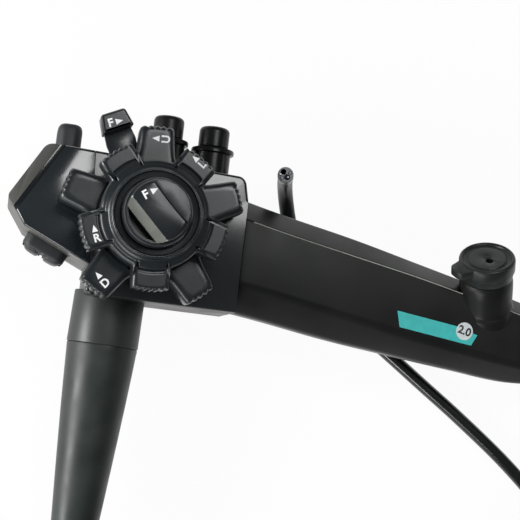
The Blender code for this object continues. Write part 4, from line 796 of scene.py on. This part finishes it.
def make_lever():
    """U/D lock lever: a thin plate round the axis with a broad arm and a thumb paddle."""
    turn = Matrix.Rotation(math.radians(126), 4, "Z")
    plate = turned("lever", [(13.4, 42.6), (14, 42.9), (14, 44.5), (13.7, 44.8)], 72)
    arm = slab("arm", rounded([(7, -5.1), (27, -5.1), (30.5, -5.5), (40, -4.3), (40, 4.3), (30.5, 5.5),
                               (27, 5.1), (7, 5.1)], [0, 2, 2, 1, 1, 2, 2, 0], 4), 42.6, 45.1)
    cut(plate, place_at(arm, turn), "UNION")
    outline = rounded([(34.35, -5.9), (41.3, -4.6), (41.3, 4.6), (34.35, 5.9)], [0.6, 1.3, 1.3, 0.6], 6)
    rings = [[(x, y, height) for x, y in inset_outline(outline, trim)]
             for height, trim in ((41.4, 0.7), (41.6, 0.3), (42.1, 0.0), (49.5, 0.0), (50.3, 0.15),
                                  (50.75, 0.5), (50.9, 1.0), (50.9, 1.25))]
    cut(plate, place_at(drawn("paddle", rings), turn), "UNION")
    soften(plate, 0.22, 2, 40)
    finish(plate, "knob", "ud_lock", "ud_lock_lever")


make_knobs()
make_lock_knob()
make_lever()


# Head, cover and valves


def head_blank(name):
    """Outer form of the head and its end cover in one, longer than the head on the grip's side."""
    corners = [(-19.6, -28.9), (40.0, -29.0), (40.0, 12.3), (36.2, 12.6), (34.2, 21.4), (-39.5, 24.2),
               (-51.3, 3.4), (-44.0, -7.0), (-19.6, -18.0)]
    return edged_slab(name, rounded(corners, [2.5, 0, 0, 1.0, 3.5, 3.5, 2.4, 2.4, 0], 8), 0.0, HEAD_HEIGHT,
                      1.8, 1.1)


SEAM_LOW = (-19.2, -18.0)
SEAM_HIGH = (-22.0, 24.2)


def seam_side(offset):
    """Block that holds what lies beyond the slanted seam, on the end cover's side."""
    low = SEAM_LOW[1] + offset
    slope = (SEAM_LOW[0] - SEAM_HIGH[0]) / (SEAM_HIGH[1] - SEAM_LOW[1])
    top = SEAM_HIGH[0] - slope * (60 - SEAM_HIGH[1]) - offset
    return slab("seam_side", [(-120, low), (SEAM_LOW[0] - offset, low), (top, 60), (-120, 60)], -60, 60)


def edged_slab(name, outline, low, high, foot, brow):
    """Slab whose lower and upper edges are rounded by foot and brow."""
    rings = []
    for degrees in (90, 60, 30, 0):
        turn = math.radians(degrees)
        trim = foot * (1 - math.cos(turn))
        rings.append([(x, y, low + foot * (1 - math.sin(turn))) for x, y in inset_outline(outline, trim)])
    for degrees in (0, 22, 45, 68, 90):
        turn = math.radians(degrees)
        trim = brow * (1 - math.cos(turn))
        rings.append([(x, y, high - brow * (1 - math.sin(turn))) for x, y in inset_outline(outline, trim)])
    return drawn(name, rings)


VALVES = (("air_water", "air_water_valve", 5.4, 34.4, 8.9), ("suction", "suction_valve", 23.2, 33.2, 8.5))


def valve_place(along):
    """Axis of a valve, by its place along the head."""
    return aim(HEAD_TURN @ Vector((along, 0, 22)), HEAD_TURN.to_3x3() @ Vector((0, 1, 0)))


def make_head():
    """Control head shell with its seams, drilled for the shafts, the valves, the grip and the umbilical."""
    head = head_blank("head_shell_body")
    cut(head, slab("grip_side", [(36, -60), (60, -60), (60, 60), (36, 60)], -5, 60))
    cut(head, seam_side(-0.1))
    room = [(-17.2, -26.5), (33.6, -26.5), (33.6, 13.0), (32.0, 19.0), (-30, 21.2), (-30, -15.6),
            (-17.2, -15.6)]
    cut(head, slab("head_room", room, 2.3, 39.7))
    place_at(head, HEAD_TURN)
    cut(head, turned("shaft_hole", [(6.6, 30), (6.6, 50)], 48))
    for _name, _body, along, _flange, _rise in VALVES:
        cut(head, place_at(turned("bore", [(7.3, 0), (7.3, 45)], 48), valve_place(along)))
    cut(head, place_at(turned("hole", [(9.3, -12), (9.3, 12)], 48), aim(BOOT_FOOT, BOOT_OUT)))
    cut(head, place_at(slab("hole", [(30, -8), (40, -8), (40, 8), (30, 8)], 12, 34), HEAD_TURN))
    add_looks(head, "housing", "grip")
    for face in head.data.polygons:
        face.material_index = 1 if face.normal.z < 0.3 else 0
    finish(head, "housing", "control_body", "head_shell")


def make_cover():
    """End cover: hollow, with a chamfered long edge, a groove beside it, switch openings and screw seats."""
    cover = cut(head_blank("end_cover_body"), seam_side(0.1), "INTERSECT")
    room = [(-10, 21.2), (-37.7, 21.9), (-48.6, 3.1), (-42.4, -5.1), (-19.0, -15.6), (-10, -15.6)]
    cut(cover, slab("cover_room", room, 2.4, 37.6))
    edge = Vector((-51.3 + 39.5, 3.4 - 24.2, 0)).normalized()
    middle = Vector((-45.4, 13.8, HEAD_HEIGHT - 4.2))
    lean = Matrix.Translation(middle * MM) @ Matrix.Rotation(math.atan2(-edge.y, -edge.x), 4, "Z")
    cut(cover, place_at(slab("chamfer", [(-30, 0), (30, 0), (30, 30), (-30, 30)], 0, 30),
                        lean @ Matrix.Rotation(math.radians(45), 4, "X")))
    trench = slab("trench", [(-30, -6.0), (30, -6.0), (30, -4.2), (-30, -4.2)], 2.7, 8)
    cut(cover, place_at(trench, lean))
    for name, place, wide, deep, _rise in switch_places():
        hole = slab(name, switch_outline(wide, deep, 0.3), -3.5, 3.5)
        cut(cover, place_at(hole, HEAD_TURN.inverted() @ place))
    low_side = (-0.411, -0.912, 0)
    for spot, out in (((-31.0, -12.6, 34), low_side), ((-27.0, -14.4, 34), low_side),
                      ((-45.4, 13.8, 38.6), (-0.615, 0.349, 0.707))):
        cut(cover, place_at(turned("screw_seat", [(0.8, -0.6), (0.8, 4)], 20), aim(spot, out)))
    soften(cover, 0.22, 2, 30)
    add_looks(cover, "cover", "edge", "grip")
    across = Vector((-edge.y, edge.x, 0))
    # Chamfer faces and the lower walls take the lighter edge finish, a painted sheen for the light these
    # sides catch; the other walls take the grip finish.
    for face in cover.data.polygons:
        sloped = 0.5 < face.normal.z < 0.9 and abs(face.normal.dot(across)) > 0.5
        lower = abs(face.normal.z) < 0.4 and face.normal.y < -0.25 and face.normal.x < 0.1
        if sloped and face.area > 2e-6 or lower and face.area > 4e-6:
            face.material_index = 1
        elif face.normal.z < 0.3:
            face.material_index = 2
    place_at(cover, HEAD_TURN)
    finish(cover, "cover", "control_body", "end_cover")


REAR_OUT = (-0.2464, -0.9692, 0)


def switch_places():
    """Name, place, width, depth and rise of each remote switch."""
    rows = (("front_switch", (-35.13, 18.38, 21), (-0.1736, 0.9848, 0), 10.2, 13.0, 10.8),
            ("rear_switch_upper", (-36.11, -16.06, 21), REAR_OUT, 7.3, 12.5, 5.6),
            ("rear_switch_lower", (-27.77, -18.18, 21), REAR_OUT, 7.3, 12.5, 5.6))
    return [(name, aim(origin, out), wide, deep, rise) for name, origin, out, wide, deep, rise in rows]


def switch_outline(wide, deep, clear=0.0):
    """Outline of a switch cap, and of its opening with some clearance."""
    x = wide / 2 + clear
    y = deep / 2 + clear
    return rounded([(-x, -y), (x, -y), (x, y), (-x, y)], [wide / 2.4 + clear] * 4, 8)


def make_valve(name, body, along, flange, rise):
    """One push valve: flanged collar, and the cap of its piston that stands up from the flange by rise."""
    place = valve_place(along)
    foot = flange - 24
    seat = flange + 3.4
    profile = [(7.0, foot), (7.0, flange - 2.0), (7.9, flange - 2.0), (8.2, flange - 1.7),
               (8.2, flange - 0.6), (7.95, flange - 0.15), (7.5, flange), (6.45, flange),
               (6.15, flange - 0.25), (6.1, flange - 2.2), (4.75, flange - 2.3), (4.75, seat - 0.2),
               (4.6, seat), (4.0, seat), (4.0, foot)]
    ring = turned(name + "_collar", profile, 72, ring=True)
    finish(place_at(ring, place), "valve", "control_body", name + "_cylinder")
    low = flange + 0.45
    top = flange + rise
    profile = [(2.65, foot + 3.4), (3.75, foot + 3.9), (3.75, flange - 2.0), (2.65, flange - 1.8),
               (2.65, top - 1.4), (5.0, top - 1.4), (5.0, low), (5.55, low), (5.8, low + 0.3),
               (5.8, top - 2.0), (5.66, top - 1.3), (5.3, top - 0.7), (4.7, top - 0.3), (3.9, top - 0.1),
               (3.2, top - 0.22), (2.0, top - 0.34), (0.8, top - 0.38)]
    cap = turned(name + "_cap", profile, 72)
    finish(place_at(cap, place), "valve", body, name + "_button")


make_head()
make_cover()
for valve in VALVES:
    make_valve(*valve)


def make_switches():
    """Soft rubber switches: one on the top side, and two that share a rubber web on the lower left side."""
    for name, place, wide, deep, rise in switch_places():
        narrower, lower = (0.9, 0.3) if name == "front_switch" else (0.0, 0.0)
        outline = switch_outline(wide - narrower, deep)
        rise -= lower
        lean = {"rear_switch_upper": 1.0, "rear_switch_lower": -1.0}.get(name, 0.0)
        levels = [(-4.0, 0.0), (rise - 3.2, 0.0), (rise - 2.0, 0.12), (rise - 1.1, 0.45),
                  (rise - 0.45, 1.0), (rise - 0.12, 1.7), (rise, 2.4)]
        rings = [[(px + lean * t * 0.42, py, h) for px, py in inset_outline(outline, t)] for h, t in levels]
        finish(place_at(drawn(name + "_cap", rings), place), "switch", name, name, angle=60)
    places = {name: (place, wide, deep) for name, place, wide, deep, rise in switch_places()}
    first, wide, deep = places["rear_switch_upper"]
    second = places["rear_switch_lower"][0]
    middle = aim((first.translation + second.translation) / 2 / MM, REAR_OUT)
    outline = rounded([(-8.6, -6.9), (8.6, -6.9), (8.6, 6.9), (-8.6, 6.9)], [3.6] * 4, 8)
    rings = [[(x, y, h) for x, y in inset_outline(outline, t)]
             for h, t in ((0.1, 0.0), (3.2, 0.1), (4.2, 0.5), (4.7, 1.2))]
    web = drawn("switch_web", rings)
    cut(web, slab("notch", [(-0.55, -8), (0.55, -8), (0.55, 8), (-0.55, 8)], 4.0, 8))
    place_at(web, middle)
    for place in (first, second):
        cut(web, place_at(slab("hole", switch_outline(wide, deep, 0.12), -2, 6), place))
    finish(web, "switch", "control_body", angle=50)


make_switches()


# Grip, inlet and boots


GRIP_START = 26
GRIP_LENGTH = 139
GRIP_STATIONS = (0.0, 0.17, 0.38, 0.58, 0.76, 0.90, 1.0)
GRIP_HALF = (21.0, 19.9, 19.3, 17.9, 16.6, 15.6, 13.2)
GRIP_BOTTOM = (6.4, 7.0, 7.4, 8.0, 9.0, 10.0, 12.0)
GRIP_CREASE = (12.6, 11.8, 11.5, 11.3, 10.4, 9.6, 8.0)
GRIP_TOP = (40.6, 40.4, 39.8, 38.6, 37.4, 36.6, 35.0)


def between(values, share):
    """Value at a share of the grip's length, eased between its stations."""
    count = len(GRIP_STATIONS)
    for i in range(count - 1):
        low, high = GRIP_STATIONS[i], GRIP_STATIONS[i + 1]
        if share <= high or i == count - 2:
            t = (share - low) / (high - low)
            step = high - low
            before = values[i] - (values[i - 1] if i else 2 * values[i] - values[i + 1])
            before /= (GRIP_STATIONS[i] - GRIP_STATIONS[i - 1]) if i else step
            after = (values[i + 2] - values[i + 1]) if i < count - 2 else values[i + 1] - values[i]
            after /= (GRIP_STATIONS[i + 2] - GRIP_STATIONS[i + 1]) if i < count - 2 else step
            slope = (values[i + 1] - values[i]) / step
            m0 = 0.5 * (before + slope) * step
            m1 = 0.5 * (after + slope) * step
            t2, t3 = t * t, t * t * t
            return ((2 * t3 - 3 * t2 + 1) * values[i] + (t3 - 2 * t2 + t) * m0
                    + (3 * t2 - 2 * t3) * values[i + 1] + (t3 - t2) * m1)


def grip_section(share):
    """Outline of the grip across X, in Y and Z."""
    half = between(GRIP_HALF, share)
    fuller = half + 1.5 * (1 - share ** 3)
    crease = between(GRIP_CREASE, share)
    top = between(GRIP_TOP, share)
    bottom = between(GRIP_BOTTOM, share)
    middle = (top + bottom) / 2
    shoulder = middle + (top - middle) * 0.30
    belt = middle - (middle - bottom) * 0.25
    keel = half * 0.52
    corners = [(keel, bottom), (half, belt), (half, shoulder), (crease, top),
               (-crease, top), (-fuller, shoulder), (-fuller, belt), (-keel, bottom)]
    return rounded(corners, [6.5, 5.0, 4.0, 1.8, 4.5, 5.0, 5.0, 6.5], 6)


def make_grip():
    """Grip drawn from the head to its end ring."""
    rings = []
    steps = 36
    for i in range(steps + 1):
        share = i / steps
        x = GRIP_START + GRIP_LENGTH * share
        rings.append([(x, y, z) for y, z in grip_section(share)])
    grip = drawn("grip_shell_body", rings)
    back = slab("back", [(-80, -80), (36.3, -80), (36.3, 80), (-80, 80)], -10, 80)
    cut(grip, place_at(back, HEAD_TURN))
    soften(grip, 0.5, 3, 50)
    finish(grip, "grip", "control_body", "grip_shell", angle=30)


def make_inlet():
    """Branch housing on the grip, and the rubber seal with its tab and off-centre hole."""
    place = aim((135.4, 9.0, 30.0), (-0.3749, 0.7052, 0.6018))
    profile = [(11.3, -7.0), (11.3, 0.4), (11.15, 0.9), (10.8, 1.3), (10.45, 1.9), (10.35, 3.0),
               (10.3, 6.0), (10.3, 10.0), (10.2, 13.4), (9.95, 14.3), (9.6, 15.2), (7.2, 15.5), (6.5, 15.5),
               (6.5, -7.0)]
    housing = turned("inlet_branch", profile, 96, ring=True)
    finish(place_at(housing, place), "grip", "control_body", "inlet_housing")
    low = 15.8
    high = 24.0
    profile = [(6.6, low), (10.0, low), (10.05, low + 2.2), (10.5, low + 2.6), (10.7, low + 3.1),
               (10.7, high - 1.2), (10.55, high - 0.6), (10.2, high - 0.2), (9.75, high - 0.05),
               (9.35, high - 0.2), (9.1, high - 0.55), (8.95, high - 0.9), (8.3, high - 1.0),
               (7.7, high - 1.0), (7.4, high - 0.85), (7.1, high - 0.55), (6.6, high - 0.5),
               (2.0, high - 0.35), (2.0, low + 6.4), (6.6, low + 6.4)]
    seal = turned("inlet_cap", profile, 96, ring=True)
    plug = turned("plug", [(2.6, low + 6.45), (2.6, high - 0.4)], 40)
    cut(seal, plug, "UNION")
    hole = turned("hole", [(1.5, 0), (1.5, 60)], 40)
    cut(seal, place_at(hole, Matrix.Translation((0, 2.2 * MM, 18 * MM))))
    tab = slab("tab", rounded([(-4.6, 0), (4.6, 0), (3.2, 5.7), (-3.2, 5.7)], [0, 0, 2.4, 2.4], 6),
               high - 3.4, high - 0.6)
    turn = Matrix.Rotation(math.radians(-76), 4, "Z") @ Matrix.Translation((0, 9.4 * MM, 0))
    cut(seal, place_at(tab, turn), "UNION")
    soften(seal, 0.25, 2, 40)
    finish(place_at(seal, place), "rubber", "control_body", "inlet_seal")


def taper(start, end, length, count, power):
    """Radii and heights of a boot between its two ends, curved more by a power further from 1."""
    profile = []
    for i in range(1, count):
        share = i / count
        profile.append((start + (end - start) * (0.6 * share ** power + 0.4 * share), length * share))
    return profile


def make_boots():
    """End ring and boot of the insertion tube, collar and long boot of the umbilical."""
    place = aim((165.3, 0, 23.5), (1, 0, 0))
    profile = [(8.0, -6.0), (8.0, 0), (11.1, 0), (11.4, 0.3), (11.4, 1.2), (11.1, 2.2), (10.7, 5.8),
               (10.4, 6.6), (9.8, 7.0), (3.0, 7.0)]
    finish(place_at(turned("grip_ring", profile, 96), place), "steel", "control_body", "grip_end_ring")
    place = aim((172.6, 0, 23.5), (1, 0, 0))
    profile = [(9.6, 0), (10.2, 0.6)] + taper(10.2, 4.2, 46, 24, 1.5)
    profile += [(4.1, 45.6), (3.6, 46.0), (2.7, 46.0)]
    finish(place_at(turned("insertion_relief", profile, 96), place), "rubber", "control_body",
           "insertion_boot")
    place = aim(BOOT_FOOT, BOOT_OUT)
    profile = [(9.0, -5.5), (9.0, 0), (13.1, 0), (13.25, 0.4), (13.4, 18.9), (13.34, 19.25), (13.15, 19.4),
               (3.0, 19.4)]
    finish(place_at(turned("umbilical_ferrule", profile, 96), place), "collar", "control_body",
           "umbilical_collar")
    place = aim(BOOT_FOOT + BOOT_OUT * 19.5, BOOT_OUT)
    profile = [(12.9, 0), (13.2, 0.12), (13.25, 0.5)] + taper(13.2, 7.4, 84, 30, 1.25)
    profile += [(7.3, 83.4), (6.9, 83.9), (5.9, 84.0)]
    finish(place_at(turned("umbilical_relief", profile, 96), place), "boot", "control_body",
           "umbilical_boot")


make_grip()
make_inlet()
make_boots()


# Bending section and tip


TIP_PLACE = Matrix(((-0.6707, 0.7146, -0.1987, 0.0471), (-0.7282, -0.6853, -0.0065, 0.0348),
                    (-0.1408, 0.1404, 0.9800, 0.0228), (0, 0, 0, 1)))


SLEEVE_SIDES = 40


def sleeve_points():
    """Centres of the bending section's hinges, from its base to the foot of the tip."""
    spots = [Vector(p) for p in ((58.05, 19.06, 2.75), (56.4, 21.9, 2.75), (54.97, 24.87, 3.91),
                                 (53.17, 27.6, 5.16), (51.9, 29.95, 7.43), (50.3, 32.01, 9.76),
                                 (49.4, 33.42, 12.83), (48.18, 34.52, 15.92), (47.79, 34.83, 19.39),
                                 (47.1, 34.8, 22.8))]
    for _pass in range(3):
        inner = [0.25 * a + 0.5 * b + 0.25 * c for a, b, c in zip(spots, spots[1:], spots[2:])]
        spots = [spots[0]] + inner + [spots[-1]]
    return spots


def sleeve_ring(spot, ahead, radius):
    """Round ring at a point, square to a direction."""
    across = Vector((0.866, 0.5, 0))
    across = (across - ahead * across.dot(ahead)).normalized()
    rise = ahead.cross(across)
    turns = [math.tau * i / SLEEVE_SIDES for i in range(SLEEVE_SIDES)]
    return [tuple(spot + radius * (across * math.cos(turn) + rise * math.sin(turn))) for turn in turns]


def make_crease_highlight():
    """Thin light bead that stands a little proud along the grip's upper crease, a painted highlight of the
    crease's edge.
    """
    rings = []
    count = 60
    for i in range(count + 1):
        share = 0.085 + 0.80 * i / count
        crease = between(GRIP_CREASE, share)
        top = between(GRIP_TOP, share)
        spot = Vector((GRIP_START + GRIP_LENGTH * share, crease - 0.13, top - 0.24))
        rings.append(sleeve_ring(spot, Vector((1, 0, 0)), 0.20))
    finish(drawn("grip_crease_painted_highlight", rings), "band", "control_body", angle=60)


def make_sleeve():
    """Rubber sleeve of the bending section, one piece over each hinge."""
    points = sleeve_points()
    fine = smooth_route(points, 0.58)
    marks = [min(range(len(fine)), key=lambda k: (fine[k] - (a + b) / 2).length)
             for a, b in zip(points[1:], points[2:])]
    marks = [0] + marks[:-1] + [len(fine) - 1]
    made = []
    last = len(fine) - 1
    for index in range(8):
        stretch = range(marks[index], marks[index + 1] + 1)
        rings = []
        for k in stretch:
            ahead = (fine[min(k + 1, last)] - fine[max(k - 1, 0)]).normalized()
            radius = 2.75 if k in (0, last) else 2.98
            rings.append(sleeve_ring(fine[k], ahead, radius))
        piece = drawn("bending_sleeve_%d" % (index + 1), rings)
        nodes = ["bending_link_%d" % (index + 1)] + (["bending_base"] if index == 0 else [])
        finish(piece, "sleeve", None, *nodes, angle=60)
        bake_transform(piece)
        made.append(piece)
    return made


def make_tip():
    """Distal head: a grey resin cap with its channel, and dark seats round the lenses and the nozzle."""
    profile = [(2.5, 0.2), (2.95, 0.3), (3.08, 0.7), (3.08, 5.6), (2.98, 5.85), (2.98, 6.25), (3.06, 6.4),
               (3.04, 6.7), (2.85, 6.92), (2.6, 7.0), (2.45, 7.0), (2.4, 6.93)]
    tip = turned("distal_cap", profile, 64)
    holes = ((0.10, -1.35, 1.0, 0.8), (0.0, 1.15, 1.09, 3.9), (-1.85, 0.35, 0.66, 3.9),
             (1.85, 0.35, 0.66, 3.9), (1.75, -1.15, 0.46, 3.9))
    for x, y, radius, low in holes:
        profile = [(radius, low), (radius, 6.75), (radius + 0.12, 6.98), (radius + 0.12, 8)]
        hole = turned("hole", profile, 32)
        cut(tip, place_at(hole, Matrix.Translation((x * MM, y * MM, 0))))
    add_looks(tip, "tip", "face", "print")
    for face in tip.data.polygons:
        if face.center.xy.length < 0.0027 and face.center.z > 0.00065:
            face.material_index = 1 if face.center.z > 0.0067 and face.normal.z > 0.5 else 2
    finish(place_at(tip, TIP_PLACE), "tip", "link_8", "distal_head")
    return tip


make_crease_highlight()
SLEEVES = make_sleeve()
TIP = make_tip()


# Umbilical connector


PLUG = Vector((160.5, -189.0, 21.1))
ALONG = Vector((0, 1, 0))
PRONG_RISE = 3.0
PIPE_RISE = -7.5


def make_connector():
    """Connector of the umbilical: boot, moulded body, light guide prong, air pipe, socket and nipple."""
    profile = [(6.0, 0.0), (7.1, 0.1), (7.4, 0.5)]
    for i in range(1, 18):
        share = i / 18
        profile.append((7.4 + 4.6 * (0.6 * share ** 0.7 + 0.4 * share) - (0.35 if i % 3 == 2 else 0),
                        25.6 * share))
    profile += [(12.0, 25.4), (11.6, 26.0)]
    boot = finish(place_at(turned("connector_relief", profile, 72), aim(PLUG, ALONG)), "boot",
                  "control_body", "connector_boot")
    foot = PLUG + ALONG * 26.3
    profile = [(12.4, 0.0), (13.0, 0.3), (13.9, 2.0), (15.8, 5.0), (18.2, 8.2), (20.0, 12.0), (20.9, 16.0),
               (21.0, 18.0), (21.0, 42.6), (20.7, 43.4), (20.0, 44.2), (18.2, 45.3), (17.6, 46.0),
               (17.5, 47.0), (17.5, 57.0), (17.2, 57.7), (16.5, 58.0), (15.0, 58.0), (14.8, 57.6)]
    body = turned("connector_shell", profile, 96)
    face = 58.0
    for radius, z in ((5.3, PRONG_RISE), (2.5, PIPE_RISE)):
        hole = turned("hole", [(radius, face - 5), (radius, face + 4)], 40)
        cut(body, place_at(hole, Matrix.Translation((0, z * MM, 0))))
    laid_down = Matrix(((1, 0, 0, 0), (0, 0, 1, 0), (0, 1, 0, 0), (0, 0, 0, 1)))
    place_at(body, Matrix.Translation(foot * MM) @ laid_down)
    close_shell(body)
    side = aim(foot + ALONG * 26, (1, 0, 0))
    cut(body, place_at(turned("seat", [(8.8, 18), (8.8, 26)], 64), side))
    for i in range(9):
        place = Matrix.Translation((foot + ALONG * (28 + 1.6 * i)) * MM)
        for lean in (150, 210):
            rib = slab("rib", rounded([(-0.4, -6), (0.4, -6), (0.4, 6), (-0.4, 6)], [0.3] * 4, 3), 20.4, 22)
            turn = Matrix.Rotation(math.radians(lean), 4, "Y")
            cut(body, place_at(rib, place @ turn @ Matrix.Rotation(math.radians(90), 4, "Z")))
    soften(body, 0.2, 2, 40)
    finish(body, "collar", "control_body", "connector_body")
    end = foot + ALONG * face
    profile = [(4.2, -4.5), (5.0, -4.3), (5.0, 24.8), (4.8, 25.6), (4.3, 26.0), (3.6, 26.0), (3.5, 25.8),
               (3.0, 25.7)]
    prong = place_at(turned("guide_prong", profile, 48), aim(end + Vector((0, 0, PRONG_RISE)), ALONG))
    finish(prong, "steel", "control_body", "light_guide_prong")
    profile = [(1.6, -4.5), (2.2, -4.5), (2.2, 14.2), (2.05, 14.5), (2.05, 15.2), (2.2, 15.5), (2.2, 16.7),
               (2.0, 17.0), (1.6, 17.0)]
    pipe = place_at(turned("air_tube", profile, 40, ring=True), aim(end + Vector((0, 0, PIPE_RISE)), ALONG))
    finish(pipe, "steel", "control_body", "air_pipe")
    low = 18.3
    profile = [(8.5, low), (8.5, low + 5.0), (8.3, low + 5.3), (8.3, low + 6.0), (8.5, low + 6.3),
               (8.5, low + 7.6), (8.2, low + 8.0), (7.4, low + 8.0), (7.0, low + 7.7), (6.9, low + 3.0),
               (6.6, low + 2.9)]
    socket = turned("contact_socket", profile, 64)
    for ring, count in ((4.9, 12), (2.6, 6)):
        for i in range(count):
            turn = math.tau * i / count
            pin = turned("pin", [(0.45, low + 2.4), (0.45, low + 5.6), (0.3, low + 5.9)], 12)
            spot = Matrix.Translation((ring * MM * math.cos(turn), ring * MM * math.sin(turn), 0))
            cut(socket, place_at(pin, spot), "UNION")
    finish(place_at(socket, side), "steel", "control_body", "video_socket")
    low = 21.3
    profile = [(1.6, low), (4.8, low), (4.8, low + 1.7), (4.5, low + 2.0), (2.4, low + 2.2),
               (2.3, low + 8.4), (2.5, low + 8.6), (3.2, low + 8.9), (3.1, low + 9.3), (2.3, low + 10.9),
               (2.1, low + 11.0), (1.6, low + 11.0)]
    nipple = place_at(turned("suction_tail", profile, 48, ring=True), aim(foot + ALONG * 24, (0, 0, 1)))
    finish(nipple, "steel", "control_body", "suction_nipple")
    return boot, body


CONNECTOR = make_connector()


# Marks


def letter(word, size, place, look, body, name):
    """Thin mark made from text, sunk by half its thickness into the surface at its place."""
    bpy.ops.object.select_all(action="DESELECT")
    bpy.ops.object.text_add()
    piece = bpy.context.object
    piece.name = name
    piece.data.body = word
    piece.data.size = size * MM
    piece.data.offset = 0.028 * size * MM
    piece.data.extrude = 0.05 * MM
    piece.data.resolution_u = 4
    piece.data.align_x = "CENTER"
    piece.data.align_y = "CENTER"
    only(piece)
    bpy.ops.object.convert(target="MESH")
    piece = bpy.context.object
    piece.data.materials.clear()
    bpy.ops.object.mode_set(mode="EDIT")
    close_up(merge=True)
    place_at(piece, place)
    return finish(piece, look, body, angle=30)


def arrow(size, place, look, body, name):
    """Solid triangle that points along its own X."""
    outline = [(-0.45 * size, -0.42 * size), (0.55 * size, 0), (-0.45 * size, 0.42 * size)]
    piece = slab(name, outline, -0.05, 0.05)
    return finish(place_at(piece, place), look, body)


def mark_pair(word, spot, height, up_angle, arrow_angle, gap, size, body):
    """Letter at a spot of a flat face with its arrow beside it."""
    centre = Vector((spot[0], spot[1], height))
    turn = Matrix.Rotation(math.radians(up_angle - 90), 4, "Z")
    letter(word, size, Matrix.Translation(centre * MM) @ turn, "white", body, "mark_%s_%s" % (word, body))
    way = Vector((math.cos(math.radians(arrow_angle)), math.sin(math.radians(arrow_angle)), 0))
    turn = Matrix.Rotation(math.radians(arrow_angle), 4, "Z")
    arrow(0.62 * size, Matrix.Translation((centre + way * gap) * MM) @ turn, "white", body,
          "arrow_%s_%s" % (word, body))


MARKS = (
    ("U", (-3.4, 28.4), 57.12, 193, 193, 3.6, 4.1, "ud_knob"),
    ("D", (-9.1, -27.1), 57.12, 149, 149, 3.7, 4.1, "ud_knob"),
    ("R", (-16.9, -13.9), 67.02, 122, 122, 3.4, 4.0, "rl_knob"),
    ("L", (10.6, 21.9), 67.02, 156, 156, 3.2, 4.0, "rl_knob"),
    ("F", (-6.1, 3.7), 80.77, 136, 46, 3.4, 4.2, "rl_lock"),
    ("F", (-23.7, 28.9), 50.92, 122, 32, 3.1, 4.2, "ud_lock"),
)
for mark in MARKS:
    mark_pair(*mark)


def press_down(piece, target, lift):
    """Press a flat mesh straight down onto a target, and leave it above it by lift."""
    only(piece)
    press = piece.modifiers.new("lay", "SHRINKWRAP")
    press.target = bpy.data.objects[target]
    press.wrap_method = "PROJECT"
    press.use_project_z = True
    press.use_negative_direction = True
    press.use_positive_direction = False
    press.offset = lift * MM
    bpy.ops.object.modifier_apply(modifier="lay")


def lay_on_grip(piece, lift, thickness):
    """Lay a flat mesh down on the grip and give it a thickness."""
    press_down(piece, "grip_shell_body", lift)
    wall = piece.modifiers.new("wall", "SOLIDIFY")
    wall.thickness = thickness * MM
    wall.offset = 0
    bpy.ops.object.modifier_apply(modifier="wall")
    return piece


def flat_sheet(name, outline, height, step):
    """Flat sheet with an outline, divided finely enough to follow a curved surface."""
    piece = drawn(name, [[(x, y, height) for x, y in outline], [(x, y, height + 1) for x, y in outline]])
    only(piece)
    bpy.ops.object.mode_set(mode="EDIT")
    grid = bmesh.from_edit_mesh(piece.data)
    for face in grid.faces:
        face.select = face.normal.z < 0.5
    bmesh.update_edit_mesh(piece.data)
    bpy.ops.mesh.delete(type="FACE")
    xs = [x for x, y in outline]
    count = int((max(xs) - min(xs)) / step)
    for i in range(1, count):
        bpy.ops.mesh.select_all(action="SELECT")
        spot = min(xs) + (max(xs) - min(xs)) * i / count
        bpy.ops.mesh.bisect(plane_co=(spot * MM, 0, 0), plane_no=(1, 0, 0))
    bpy.ops.mesh.select_all(action="DESELECT")
    bpy.ops.object.mode_set(mode="OBJECT")
    return piece


LABEL_HEIGHT = 44


def make_label():
    """Coloured band and number disc on the grip; the band carries no words."""
    outline = [(99.85, -3.2), (102.4, -8.9), (131.6, -7.4), (133.0, -2.9), (123.6, -2.0)]
    band = lay_on_grip(flat_sheet("label_band", outline, LABEL_HEIGHT, 1.5), 0.06, 0.06)
    finish(band, "teal", "control_body")
    spot = (127.6, -2.9)
    ring = [(spot[0] + 3.35 * math.cos(math.radians(a)), spot[1] + 3.35 * math.sin(math.radians(a)))
            for a in range(0, 360, 6)]
    finish(lay_on_grip(flat_sheet("label_disc", ring, LABEL_HEIGHT, 1.0), 0.12, 0.06), "disc",
           "control_body")
    lean = Matrix.Rotation(math.radians(-4), 4, "Z")
    turn = Matrix.Translation(Vector((*spot, LABEL_HEIGHT)) * MM) @ lean
    number = letter("2.0", 4.3, turn, "print", "control_body", "channel_number")
    press_down(number, "label_disc", 0.03)


make_label()
